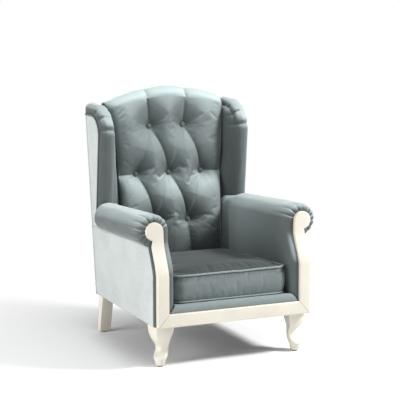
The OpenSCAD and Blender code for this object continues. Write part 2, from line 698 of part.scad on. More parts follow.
// The line where a wing meets the back, beside one point of the wing's path
function wing_rear(p) = let (z = p[3] > 0 ? mix(wing_full_z, board_top_z + gap, p[3]) : p[1])
    [pad_half_w(z) + gap, back_y(z, pad_back_n), z];
function wing_face(p, k) =
    let (a = mix(180, 0, (k - wing_face_steps) / wing_arc_steps), tip = off_path(p, wing_r * sin(a)))
    k < wing_face_steps
    ? mix(wing_rear(p), [wing_axis_x - wing_r, p[0], p[1]], k / wing_face_steps)
    : k < wing_cols ? [wing_axis_x + wing_r * cos(a), tip[0], tip[1]]
    : [panel_out_x, off_path(p, -wing_seam_in)[0], off_path(p, -wing_seam_in)[1]];
function wing_lining(p, k) =
    let (rear = wing_rear(p), edge = off_path(p, gap - wing_edge_in), seam = off_path(p, -wing_seam_in))
    k < wing_face_steps
    ? mix([board_in_x, rear[1], rear[2]], [board_in_x, edge[0], edge[1]], k / wing_face_steps)
    : k < wing_cols
    ? [mix(board_in_x, outer_x + gap, (k - wing_face_steps) / wing_arc_steps), edge[0], edge[1]]
    : [outer_x + gap, seam[0], seam[1]];

// The last section of a wing's roll, which runs back over the post to offset n
function wing_end_face(n) = [for (k = [0:wing_cols]) let (q = wing_face(wing_path[len(wing_path) - 1], k))
    let (z = k < wing_face_steps ? mix(board_top_z + gap, wing_end_z, k / wing_face_steps) : q[2])
    let (x = k == 0 ? pad_half_w(z) + gap : q[0]) [x, back_y(z, n), z]];
function wing_end_lining(n) = [for (k = [0:wing_cols])
    let (z = k < wing_cols ? board_top_z + 2 * gap : wing_end_z - wing_seam_in)
    let (x = mix(pad_half_w(board_top_z) + 2 * gap, outer_x + gap, min(1, k / (wing_cols - 1))))
    [x, back_y(z, n), z]];

module wing_pad()
    color(velvet) grid_solid(
        concat([for (p = wing_path) [for (k = [0:wing_cols]) wing_face(p, k)]],
            [wing_end_face(post_rear_n)]),
        concat([for (p = wing_path) [for (k = [0:wing_cols]) wing_lining(p, k)]],
            [wing_end_lining(post_rear_n)]));

module wing_pad_left() wing_pad();
module wing_pad_right() mirror([1, 0, 0]) wing_pad();

// A cord or wire along a row of points, with the direction that stays to one side of it
function unit(v) = v / norm(v);
function tube_rings(points, r, sides, out) = [for (i = [0:len(points) - 1])
    let (ahead = unit(points[min(i + 1, len(points) - 1)] - points[max(i - 1, 0)]))
    let (side = unit(cross(out, ahead)), up = cross(ahead, side))
    [for (k = [0:sides - 1]) points[i] + r * (cos(360 * k / sides) * side + sin(360 * k / sides) * up)]];

module wing_piping() {
    x = panel_out_x + gap + piping_d / 2;
    line = [for (p = wing_path) let (q = off_path(p, -wing_seam_in)) [x, q[0], q[1]]];
    top_z = wing_end_z - wing_seam_in;
    color(velvet) ring_solid(tube_rings(concat(line, [[x, back_y(top_z, post_rear_n), top_z]]),
        piping_d / 2, 8, [-1, 0, 0]));
}

module wing_piping_left() wing_piping();
module wing_piping_right() mirror([1, 0, 0]) wing_piping();

// Seat

spring_cycles = 9;
spring_half_w = 24;
spring_pitch = 2 * (arm_inner_x - spring_half_w) / spring_count;
spring_xs = [for (i = [0:spring_count - 1]) spring_pitch * (i - (spring_count - 1) / 2)];
// Where a zigzag's corners lie: shares of a cycle, and the side that each is on
zigzag_shares = [[0, -1], [0.25, -1], [0.5, 1], [0.75, 1]];
function spring_line(x) = [for (i = [0:spring_cycles - 1]) for (c = zigzag_shares)
    let (y = mix(spring_start_y, spring_end_y, (i + c[0]) / spring_cycles))
    [x + spring_half_w * c[1], y, wire_z(y)]];

module seat_springs()
    color(steel) for (x = spring_xs)
        ring_solid(tube_rings(spring_line(x), wire_d / 2, 6, [0, 0, 1]));

module spring_clips()
    color(steel) for (x = spring_xs) for (place = [[spring_start_y, trim_top_z], [spring_end_y, back_rail_top_z]])
        side_slab([[place[0] - clip_d / 2, place[1]], [place[0] + clip_d / 2, place[1]],
            [place[0] + clip_d / 2, wire_z(place[0] + clip_d / 2) - wire_d / 2 - gap],
            [place[0] - clip_d / 2, wire_z(place[0] - clip_d / 2) - wire_d / 2 - gap]],
            x - spring_half_w - clip_w / 2, x - spring_half_w + clip_w / 2);

module seat_deck() {
    start = border_y + border_d + gap;
    end = back_y(seat_z(0), pad_back_n);
    color(velvet) side_slab([[start, seat_z(start) - gap - deck_t], [end, seat_z(end) - gap - deck_t],
        [end, seat_z(end) - gap], [start, seat_z(start) - gap]], gap - arm_inner_x, arm_inner_x - gap);
}

module front_border() {
    end = border_y + border_d;
    top_z = seat_z(border_y) - gap;
    nose = soft_edge_t;
    color(velvet) side_slab(concat([[border_y, trim_top_z + gap], [end, trim_top_z + gap],
        [end, seat_z(end) - gap]], [for (a = [90:15:180]) [border_y + nose * (1 + cos(a)),
        seat_z(border_y + nose * (1 + cos(a))) - gap - nose * (1 - sin(a))]]),
        gap - arm_inner_x, arm_inner_x - gap);
}

module dust_cover() {
    sheet_t = webbing_t;
    inner_x = front_leg_x - front_leg_w / 2 - corner_w / 2;
    rear = back_y(leg_h, post_rear_n);
    start = front_y + trim_t;
    leg_rear = front_bolt_y + front_leg_w;
    color(felt) translate([0, 0, leg_h - sheet_t]) linear_extrude(sheet_t)
        polygon([[-inner_x, start], [inner_x, start], [inner_x, leg_rear], [outer_x, leg_rear],
            [outer_x, rear - rear_leg_top_d - gap], [inner_x, rear - rear_leg_top_d - gap], [inner_x, rear],
            [-inner_x, rear], [-inner_x, rear - rear_leg_top_d - gap], [-outer_x, rear - rear_leg_top_d - gap],
            [-outer_x, leg_rear], [-inner_x, leg_rear]]);
}

// Cushion, drawn in a frame that lies on the deck with its front at y = 0

cushion_corner_r = 42;
corner_steps = 4;
side_steps = 5;
module on_seat() translate([0, seat_y, deck_front_z]) rotate([-seat_fall, 0, 0]) children();

// The cushion's outline as [x, y, outward x, outward y], anticlockwise from the right front
function outline_corner(cx, cy, start) = [for (i = [0:corner_steps]) let (a = start + 90 * i / corner_steps)
    [cx + cushion_corner_r * cos(a), cy + cushion_corner_r * sin(a), cos(a), sin(a)]];
outline_x = cushion_w / 2 - cushion_corner_r;
outline_back = cushion_d - cushion_corner_r;
function between(a, b) = [for (i = [1:side_steps - 1]) mix(a, b, i / side_steps)];
corner_fr = outline_corner(outline_x, cushion_corner_r, -90);
corner_rr = outline_corner(outline_x, outline_back, 0);
corner_rl = outline_corner(-outline_x, outline_back, 90);
corner_fl = outline_corner(-outline_x, cushion_corner_r, 180);
cushion_outline = concat(corner_fr, between(corner_fr[corner_steps], corner_rr[0]),
    corner_rr, between(corner_rr[corner_steps], corner_rl[0]),
    corner_rl, between(corner_rl[corner_steps], corner_fl[0]),
    corner_fl, between(corner_fl[corner_steps], corner_fr[0]));

crown_shares = [0.12, 0.3, 0.5, 0.68, 0.82, 0.92, 0.98, 1];
border_shares = [0.12, 0.3, 0.5, 0.7, 0.88];
function shrink(q, share) = [q[0] * share, cushion_d / 2 + (q[1] - cushion_d / 2) * share];
function crown_z(share) = cushion_h + cushion_crown * pow(1 - pow(share, 3), 0.6);
function border_out(q, rise) = let (out = cushion_bulge * pow(sin(180 * rise), 2) * (1 - max(0, q[3])))
    [q[0] + q[2] * out, q[1] + q[3] * out];
function flat_ring(xy, z) = [for (p = xy) [p[0], p[1], z]];

module seat_cushion() {
    levels = concat(
        [flat_ring([for (q = cushion_outline) shrink(q, 1 - cushion_bulge / cushion_w)], gap)],
        [for (rise = border_shares) flat_ring([for (q = cushion_outline) border_out(q, rise)], cushion_h * rise)],
        [for (i = [len(crown_shares) - 1:-1:0]) let (share = crown_shares[i])
            flat_ring([for (q = cushion_outline) shrink(q, share)], crown_z(share))]);
    color(velvet) on_seat() ring_solid(levels);
}

// A closed cord round the cushion's outline
module outline_cord(z) {
    r = piping_d / 2;
    out = cushion_corner_r + r + gap;
    spans = [[outline_x, cushion_corner_r, 0], [outline_x, outline_back, 90],
        [-outline_x, outline_back, 180], [-outline_x, cushion_corner_r, 270]];
    translate([0, 0, z]) union() {
        for (c = spans) translate([c[0], c[1], 0]) rotate([0, 0, c[2] - 90])
            rotate_extrude(angle = 90, $fn = 64) translate([out, 0]) circle(r, $fn = 32);
        for (y = [cushion_corner_r - out, outline_back + out])
            translate([-outline_x, y, 0]) rotate([0, 90, 0]) cylinder(h = 2 * outline_x, r = r, $fn = 32);
        for (x = [-outline_x - out, outline_x + out])
            translate([x, cushion_corner_r, 0]) rotate([-90, 0, 0])
                cylinder(h = outline_back - cushion_corner_r, r = r, $fn = 32);
    }
}

module cushion_piping()
    color(velvet) on_seat() {
        outline_cord(piping_d / 2 + gap);
        outline_cord(cushion_h);
    }

zip_w = 320;
zip_h = 24;
zip_t = 1.2;
slider_w = 9;
slider_h = 14;
slider_t = 3;
zip_z = cushion_h / 2;
module cushion_zip()
    color(zip_colour) on_seat() translate([-zip_w / 2, cushion_d, zip_z - zip_h / 2])
        cube([zip_w, zip_t, zip_h]);

module zip_slider()
    color(steel) on_seat() translate([zip_w / 2 - slider_w, cushion_d + zip_t + gap / 2, zip_z - slider_h / 2])
        cube([slider_w, slider_t, slider_h]);

// Legs

// Sections of a front leg from its foot up: height, shift towards the corner, half width across
// the corner, half width towards the corner, all as shares, and the squareness of the section
leg_section_shares = [
    [0, 0.085, 0.225, 0.225, 2], [0.12, 0.1, 0.27, 0.26, 2], [0.17, 0.11, 0.32, 0.29, 2],
    [0.24, 0.03, 0.36, 0.28, 1.8], [0.34, -0.11, 0.33, 0.21, 1.6], [0.46, -0.14, 0.345, 0.2, 1.5],
    [0.57, -0.03, 0.44, 0.32, 1.4], [0.68, 0.03, 0.53, 0.43, 1.3], [0.82, 0.03, 0.65, 0.53, 1.2],
    [1, 0, 0.7, 0.57, 1.15]];
leg_sides = 20;
function power_cos(c, e) = sign(c) * pow(abs(c), 2 / e);
function leg_ring(section) =
    let (z = mix(glide_t, leg_h, section[0]), shift = section[1] * front_leg_w)
    [for (k = [0:leg_sides - 1])
        let (a = 360 * k / leg_sides)
        let (across = section[2] * front_leg_w * power_cos(cos(a), section[4]))
        let (out = shift + section[3] * front_leg_w * power_cos(sin(a), section[4]))
        [front_leg_x + (across + out) * cos(45), front_bolt_y + (across - out) * cos(45), z]];

module front_leg()
    color(cream) difference() {
        ring_solid([for (section = leg_section_shares) [for (k = [leg_sides - 1:-1:0]) leg_ring(section)[k]]]);
        bolt_hole(front_leg_x, front_bolt_y);
    }

module front_leg_left() front_leg();
module front_leg_right() mirror([1, 0, 0]) front_leg();

rear_foot_y = rear_bolt_y + rear_leg_top_d / 2 + rear_leg_splay - rear_leg_foot_d / 2;
function leg_ring_at(y, d, z) =
    let (x = rear_bolt_x, w = rear_leg_w)
    [[x - w / 2, y - d / 2, z], [x + w / 2, y - d / 2, z], [x + w / 2, y + d / 2, z], [x - w / 2, y + d / 2, z]];

module rear_leg()
    color(cream) difference() {
        ring_solid([leg_ring_at(rear_foot_y, rear_leg_foot_d, glide_t), leg_ring_at(rear_bolt_y, rear_leg_top_d, leg_h)]);
        bolt_hole(rear_bolt_x, rear_bolt_y);
    }

module rear_leg_left() rear_leg();
module rear_leg_right() mirror([1, 0, 0]) rear_leg();

foot_shift = leg_section_shares[0][1] * front_leg_w * cos(45);
foot_places = [[front_leg_x + foot_shift, front_bolt_y - foot_shift], [rear_bolt_x, rear_foot_y]];
module glides()
    color(felt) for (side = [0, 1]) mirror([side, 0, 0]) for (place = foot_places)
        translate([place[0], place[1], 0]) cylinder(h = glide_t, r = glide_d / 2, $fn = 48);

seat_front_rail();
seat_back_rail();
seat_side_rail_left();
seat_side_rail_right();
corner_blocks();
arm_post_left();
arm_post_right();
arm_rail_left();
arm_rail_right();
back_post_left();
back_post_right();
back_crest_rail();
back_lower_rail();
wing_frame_left();
wing_frame_right();
seat_springs();
spring_clips();
seat_deck();
back_webbing();
back_pad();
crest_roll();
tuft_buttons();
button_ties();
seat_cushion();
cushion_piping();
cushion_zip();
zip_slider();
arm_pad_left();
arm_pad_right();
outer_arm_panel_left();
outer_arm_panel_right();
wing_pad_left();
wing_pad_right();
wing_outer_panel_left();
wing_outer_panel_right();
wing_piping_left();
wing_piping_right();
outer_back_panel();
front_border();
arm_facing_left();
arm_facing_right();
front_trim_rail();
front_leg_left();
front_leg_right();
rear_leg_left();
rear_leg_right();
glides();
leg_bolts();
dust_cover();
facing_screws();
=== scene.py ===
"""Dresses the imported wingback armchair: buttoned back, wings, rolled arms, loose cushion, painted trim and legs.

Every length is in metres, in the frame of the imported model: the chair faces -Y and left is the sitter's left, +X.
"""
import logging
from contextlib import contextmanager
from dataclasses import dataclass, field
from enum import Enum
from math import atan2, copysign, cos, dist, exp, hypot, pi, radians, sin, sqrt, tan, tau
from typing import Callable, Iterator, Sequence

import bmesh
import bpy
import numpy as np
from mathutils import Matrix, Vector, noise


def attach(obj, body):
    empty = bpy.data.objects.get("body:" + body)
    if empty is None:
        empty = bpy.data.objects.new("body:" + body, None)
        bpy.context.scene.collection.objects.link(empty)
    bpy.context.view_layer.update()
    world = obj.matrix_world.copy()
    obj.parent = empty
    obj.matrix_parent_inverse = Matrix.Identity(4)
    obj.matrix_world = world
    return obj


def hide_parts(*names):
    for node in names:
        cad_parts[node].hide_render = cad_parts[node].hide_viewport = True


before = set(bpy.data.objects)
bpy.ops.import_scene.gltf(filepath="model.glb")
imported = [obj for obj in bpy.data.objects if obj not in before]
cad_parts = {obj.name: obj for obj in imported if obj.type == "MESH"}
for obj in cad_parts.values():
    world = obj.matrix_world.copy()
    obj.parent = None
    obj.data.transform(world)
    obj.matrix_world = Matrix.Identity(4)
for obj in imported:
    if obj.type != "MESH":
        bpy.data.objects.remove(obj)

Piece = bpy.types.Object
Socket = bpy.types.NodeSocket
Spot = tuple[float, float, float]
Grid = list[list[Spot]]

log = logging.getLogger("armchair")
CHAIR = "chair"
CUSHION = "cushion"
# The painted shade given to faces that lie hidden behind a piece's outer face.
HIDDEN_FOLD = 0.6


class Side(Enum):
    """The sitter's left or right half of the chair, with the sign of its X."""

    LEFT = 1
    RIGHT = -1

    @property
    def word(self) -> str:
        """The word that ends the names of this side's pieces."""
        return self.name.lower()


def mix(a: float, b: float, share: float) -> float:
    """The value a share of the way from a to b."""
    return a + (b - a) * share


def clamp(value: float, low: float = 0.0, high: float = 1.0) -> float:
    """The value, held between low and high."""
    return max(low, min(high, value))


def ease(t: float) -> float:
    """A share that starts and ends level."""
    s = clamp(t)
    return s * s * (3 - 2 * s)


def wobble(x: float, y: float, z: float, pitch: float) -> float:
    """Smooth noise from -1 to 1 at a place, with features about one pitch apart."""
    return noise.noise(Vector((x, y, z)) / pitch)


@dataclass(frozen=True)
class ChairLines:
    """The sizes and lines that the pieces of the chair share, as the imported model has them."""

    width: float = 0.680
    depth: float = 0.820
    height: float = 1.064
    body_z: float = 0.171
    rake: float = radians(8)
    trim_h: float = 0.055
    trim_t: float = 0.026
    facing_w: float = 0.048
    knee_z: float = 0.380
    sweep_top_z: float = 0.510
    sweep_d: float = 0.055
    arm_x: float = 0.263
    roll_r: float = 0.068
    roll_rear_r: float = 0.060
    roll_z: float = 0.555
    roll_fall: float = 0.028
    seam_angle: float = radians(78)
    panel_t: float = 0.0075
    wing_low_reach: float = 0.115
    wing_full_reach: float = 0.204
    wing_full_z: float = 0.872
    wing_top_z: float = 1.000
    wing_r: float = 0.0325
    wing_seam_in: float = 0.016
    piping_r: float = 0.004
    shoulder_z: float = 1.004
    back_half_w: float = 0.276
    back_low_half_w: float = 0.232
    crest_pad_t: float = 0.022
    post_rear_n: float = -0.0063
    pad_back_n: float = -0.0496
    deck_z: float = 0.257
    seat_y: float = -0.370
    seat_fall: float = radians(3.5)
    gap: float = 0.0003

    @property
    def front_y(self) -> float:
        """The front of the painted trim."""
        return -self.depth / 2

    @property
    def outer_x(self) -> float:
        """Half the width over the painted trim."""
        return self.width / 2

    @property
    def panel_x(self) -> float:
        """The outer face of the padded side panels."""
        return self.outer_x + self.gap + self.panel_t

    @property
    def trim_top_z(self) -> float:
        """The top of the painted front rail."""
        return self.body_z + self.trim_h

    @property
    def foot_y(self) -> float:
        """Where the leaning outer back would meet the floor."""
        top = self.arch_s(0) - self.crest_pad_t / 2
        return self.depth / 2 - top * sin(self.rake)

    def back_y(self, z: float, n: float) -> float:
        """The y at height z on the plane n behind the outer back."""
        return self.foot_y + z * tan(self.rake) + n / cos(self.rake)

    def on_back(self, x: float, n: float, s: float) -> Spot:
        """A place on the leaning back: x across, n out of the rear and s up the back."""
        c, t = cos(self.rake), sin(self.rake)
        return (x, self.foot_y + n * c + s * t, s * c - n * t)

    def up(self, z: float) -> float:
        """The distance up the back of height z."""
        return z / cos(self.rake)

    def arch_z(self, x: float) -> float:
        """The height of the crest's arch."""
        return mix(self.height, self.shoulder_z, (x / self.back_half_w) ** 2)

    def arch_s(self, x: float) -> float:
        """The distance up the back of the crest's arch."""
        return (self.arch_z(x) + self.pad_back_n * sin(self.rake)) / cos(self.rake)

    def back_w(self, z: float) -> float:
        """Half the width of the buttoned back at height z."""
        share = clamp((z - self.trim_top_z) / (self.shoulder_z - self.trim_top_z))
        return mix(self.back_low_half_w, self.back_half_w, share**2)

    def facing_y(self, z: float) -> float:
        """The front of an arm facing, which sweeps back above its knee."""
        t = clamp((z - self.knee_z) / (self.sweep_top_z - self.knee_z))
        return self.front_y + self.sweep_d * mix(t, ease(t), 0.5)

    def behind_facing_y(self, z: float) -> float:
        """The face that the painted trim is fixed to."""
        return self.facing_y(z) + self.trim_t

    @property
    def wing_foot_z(self) -> float:
        """The height of a wing's foot on the arm rail."""
        return self.roll_z - self.roll_fall - self.roll_rear_r * 0.52

    def wing_front_y(self, z: float) -> float:
        """The foremost line of a wing below its fullest height.

        Args:
            z: the height.

        Returns:
            The y of the line.
        """
        low = self.back_y(self.wing_foot_z, 0) - self.wing_low_reach
        full = self.back_y(self.wing_full_z, 0) - self.wing_full_reach
        return mix(low, full, clamp((z - self.wing_foot_z) / (self.wing_full_z - self.wing_foot_z)))

    @property
    def roll_front_y(self) -> float:
        """The front end of an arm roll, behind its facing."""
        return self.front_y + self.sweep_d + self.trim_t

    @property
    def roll_back_y(self) -> float:
        """The rear end of an arm roll."""
        return self.wing_front_y(self.wing_foot_z) - self.gap

    def roll_share(self, y: float) -> float:
        """How far along the roll a place is."""
        return clamp((y - self.roll_front_y) / (self.roll_back_y - self.roll_front_y))

    def roll_radius(self, y: float) -> float:
        """The radius of an arm roll at y."""
        return mix(self.roll_r, self.roll_rear_r, self.roll_share(y))

    def roll_axis(self, y: float) -> tuple[float, float]:
        """The x and z of an arm roll's axis at y."""
        return self.arm_x + self.roll_radius(y), self.roll_z - self.roll_fall * self.roll_share(y)

    def seam_z(self, y: float) -> float:
        """The height of the seam under an arm roll."""
        return self.roll_axis(y)[1] - self.roll_radius(y) * sin(self.seam_angle)

    def seat_place(self, x: float, y: float, z: float) -> Spot:
        """A place on the sloping deck: y back from the cushion's front and z up from the deck."""
        c, t = cos(self.seat_fall), sin(self.seat_fall)
        return (x, self.seat_y + y * c + z * t, self.deck_z - y * t + z * c)


LINES = ChairLines()


def soft_edge(near: float, reach: float) -> float:
    """How far a rounded edge has risen, as a share, at a distance from where it starts."""
    return sqrt(1 - (1 - clamp(near / reach)) ** 2)


def deselect() -> None:
    """Leaves edit mode with nothing selected and nothing active."""
    if bpy.context.mode != "OBJECT":
        bpy.ops.object.mode_set(mode="OBJECT")
    bpy.ops.object.select_all(action="DESELECT")
    bpy.context.view_layer.objects.active = None


def pick(obj: Piece) -> None:
    """Makes obj the only selected and active object.

    Args:
        obj: the piece.
    """
    deselect()
    obj.select_set(True)
    bpy.context.view_layer.objects.active = obj


def apply_modifier(obj: Piece, kind: str, **settings: object) -> None:
    """Adds one modifier to a piece and applies it.

    Args:
        obj: the piece.
        kind: Blender's name of the modifier's type.
        settings: values for the modifier's own fields.
    """
    pick(obj)
    mod = obj.modifiers.new("work", kind)
    for key, value in settings.items():
        setattr(mod, key, value)
    bpy.ops.object.modifier_apply(modifier=mod.name)


def link(obj: Piece) -> Piece:
    """Puts an object into the scene."""
    bpy.context.scene.collection.objects.link(obj)
    return obj


def new_piece(name: str, points: Sequence[Sequence[float]], faces: Sequence[Sequence[int]]) -> Piece:
    """Makes a smooth-shaded mesh object from points and faces.

    Args:
        name: the piece's name.
        points: its vertices in metres.
        faces: its faces as vertex numbers.

    Returns:
        The object, in the scene, at the origin.
    """
    mesh = bpy.data.meshes.new(name)
    mesh.from_pydata([tuple(p) for p in points], [], [tuple(f) for f in faces])
    mesh.update()
    mesh.polygons.foreach_set("use_smooth", [True] * len(mesh.polygons))
    return link(bpy.data.objects.new(name, mesh))


@contextmanager
def mesh_of(obj: Piece) -> Iterator[bmesh.types.BMesh]:
    """Opens a piece's mesh for work on its faces, and stores it again.

    Args:
        obj: the piece.

    Yields:
        The mesh, open for work.
    """
    work = bmesh.new()
    work.from_mesh(obj.data)
    yield work
    work.to_mesh(obj.data)
    work.free()
    obj.data.update()


def face_outwards(obj: Piece) -> None:
    """Merges doubles and turns all faces of a closed piece outwards.

    Args:
        obj: the piece.
    """
    with mesh_of(obj) as work:
        bmesh.ops.remove_doubles(work, verts=work.verts, dist=1e-5)
        bmesh.ops.recalc_face_normals(work, faces=work.faces)


def cap_rim(obj: Piece) -> None:
    """Closes an open skin on its hidden side, with a fan of faces round its rim, and turns its faces outwards.

    Args:
        obj: the piece.
    """
    with mesh_of(obj) as work:
        loops = [edge.link_loops[0] for edge in work.edges if edge.is_boundary]
        ends = [(loop.link_loop_next.vert, loop.vert) for loop in loops]
        centre = work.verts.new(sum((a.co for a, _ in ends), Vector()) / len(ends))
        for a, b in ends:
            work.faces.new((a, b, centre)).smooth = True
        bmesh.ops.recalc_face_normals(work, faces=work.faces)


def set_shade(obj: Piece, name: str, values: float | Sequence[float]) -> None:
    """Stores a number for each vertex, or one for all, which a finish reads as an attribute."""
    layer = obj.data.attributes.new(name, "FLOAT", "POINT")
    layer.data.foreach_set("value", np.full(len(obj.data.vertices), values, dtype=np.float32))


def lay_nap(obj: Piece, lie: Callable[[Vector, Vector], float]) -> None:
    """Stores painted light and painted shade on a velvet piece, set by place and by the way its surface faces.

    Args:
        obj: the piece.
        lie: gives, from a place and the way its surface faces, 1 for the most painted light to -1 for the most painted
            shade.
    """
    values = [lie(v.co, v.normal) for v in obj.data.vertices]
    set_shade(obj, "with_nap", [clamp(value) for value in values])
    set_shade(obj, "against_nap", [clamp(-value) for value in values])


def grid_faces(rows: int, cols: int, start: int = 0, closed: bool = False) -> list[tuple[int, int, int, int]]:
    """The quads of a grid of points that are numbered row by row.

    Args:
        rows: the number of rows.
        cols: the number of points in a row.
        start: the number of the first point.
        closed: whether each row runs round to its first point.

    Returns:
        The quads as vertex numbers.
    """
    quads = []
    for j in range(rows - 1):
        for k in range(cols if closed else cols - 1):
            a, b = start + j * cols + k, start + j * cols + (k + 1) % cols
            quads.append((a, b, b + cols, a + cols))
    return quads


def shell(name: str, grid: Grid, inner: Grid | None = None, flip: bool = False,
          folds: Sequence[Sequence[float]] | None = None) -> Piece:
    """Makes a closed skin from a grid of points and, behind it, a second grid with the same rows and columns.

    Args:
        name: the piece's name.
        grid: the outer face.
        inner: the face behind it; the outer face is left open without one.
        flip: whether the faces are turned round.
        folds: the painted shade of each point of the outer face, deepest in folds and recesses.

    Returns:
        The skin, in the scene.
    """
    rows, cols = len(grid), len(grid[0])
    points = [p for row in grid for p in row]
    faces = grid_faces(rows, cols)
    if inner is not None:
        points += [p for row in inner for p in row]
        base = rows * cols
        faces += [tuple(reversed(f)) for f in grid_faces(rows, cols, base)]
        rim = [k for k in range(cols - 1)] + [j * cols + cols - 1 for j in range(rows - 1)]
        rim += [(rows - 1) * cols + k for k in range(cols - 1, 0, -1)] + [j * cols for j in range(rows - 1, 0, -1)]
        for a, b in zip(rim, rim[1:] + rim[:1]):
            faces.append((b, a, base + a, base + b))
    if flip:
        faces = [tuple(reversed(f)) for f in faces]
    obj = new_piece(name, points, faces)
    if folds is not None:
        shades = [value for row in folds for value in row]
        set_shade(obj, "fold", shades + [HIDDEN_FOLD] * (len(points) - len(shades)))
    return obj


def tube(name: str, path: Sequence[Sequence[float]], radius: Callable[[float], float], sides: int = 10,
         closed: bool = False, out: Sequence[float] = (0, 0, 1)) -> Piece:
    """Makes a round cord along a path.

    Args:
        name: the piece's name.
        path: the points of its middle line.
        radius: its radius by the share of its length.
        sides: the number of sides round it.
        closed: whether its end meets its start.
        out: a direction that is never along the path.

    Returns:
        The closed cord, in the scene.
    """
    line = [Vector(p) for p in path]
    count = len(line)
    points: list[Vector] = []
    for i, p in enumerate(line):
        ahead = line[(i + 1) % count] if closed else line[min(i + 1, count - 1)]
        behind = line[i - 1] if closed or i else line[0]
        along = (ahead - behind).normalized()
        side = Vector(out).cross(along).normalized()
        top = along.cross(side)
        r = radius(i / (count if closed else count - 1))
        for k in range(sides):
            a = tau * k / sides
            points.append(p + r * (cos(a) * side + sin(a) * top))
    faces = grid_faces(count, sides, closed=True)
    if closed:
        last = (count - 1) * sides
        faces += [(last + k, last + (k + 1) % sides, (k + 1) % sides, k) for k in range(sides)]
    else:
        faces += [tuple(range(sides - 1, -1, -1)), tuple(range((count - 1) * sides, count * sides))]
    obj = new_piece(name, points, faces)
    face_outwards(obj)
    return obj


def settle_cloth(obj: Piece, held: Sequence[float], cap: float, pressure: float = 4.0, slack: float = 0.0,
                 frames: int = 20, bend: float = 0.5, stiff: float = 15.0) -> None:
    """Lets a padded piece swell and crease as cloth, keeps the result and leaves no modifier.

    Args:
        obj: the piece.
        held: how firmly each vertex is held, from 0 to 1.
        cap: the furthest that a vertex may move.
        pressure: the push from the stuffing.
        slack: how much longer the cloth is than the shape, as a share.
        frames: the number of steps.
        bend: the bending stiffness.
        stiff: the stretching stiffness.
    """
    group = obj.vertex_groups.new(name="held")
    for i, weight in enumerate(held):
        if weight > 0.004:
            group.add([i], float(weight), "REPLACE")
    before = np.empty(len(obj.data.vertices) * 3)
    obj.data.vertices.foreach_get("co", before)
    mod = obj.modifiers.new("cloth", "CLOTH")
    cloth = mod.settings
    cloth.quality = 5
    cloth.mass = 0.3
    cloth.tension_stiffness = cloth.compression_stiffness = stiff
    cloth.shear_stiffness = stiff / 3
    cloth.bending_stiffness = bend
    cloth.vertex_group_mass = group.name
    cloth.use_pressure = True
    cloth.uniform_pressure_force = pressure
    cloth.shrink_min = -slack
    cloth.effector_weights.gravity = 0
    mod.collision_settings.use_collision = False
    mod.collision_settings.use_self_collision = False
    mod.point_cache.frame_start = 1
    mod.point_cache.frame_end = frames
    scene = bpy.context.scene
    for step in range(1, frames + 1):
        scene.frame_set(step)
    evaluated = obj.evaluated_get(bpy.context.evaluated_depsgraph_get())
    after = np.empty_like(before)
    evaluated.data.vertices.foreach_get("co", after)
    obj.modifiers.remove(mod)
    obj.vertex_groups.remove(group)
    scene.frame_set(1)
    move = (after - before).reshape(-1, 3)
    length = np.linalg.norm(move, axis=1)
    kept = np.where(length > 1e-9, cap * np.tanh(length / cap) / np.maximum(length, 1e-9), 0.0)
    obj.data.vertices.foreach_set("co", (before.reshape(-1, 3) + move * kept[:, None]).ravel())
    obj.data.update()
    log.info("%s settled, moved %.1f mm on average, %.1f mm at most", obj.name,
             1000 * float((length * kept).mean()), 1000 * float((length * kept).max()))


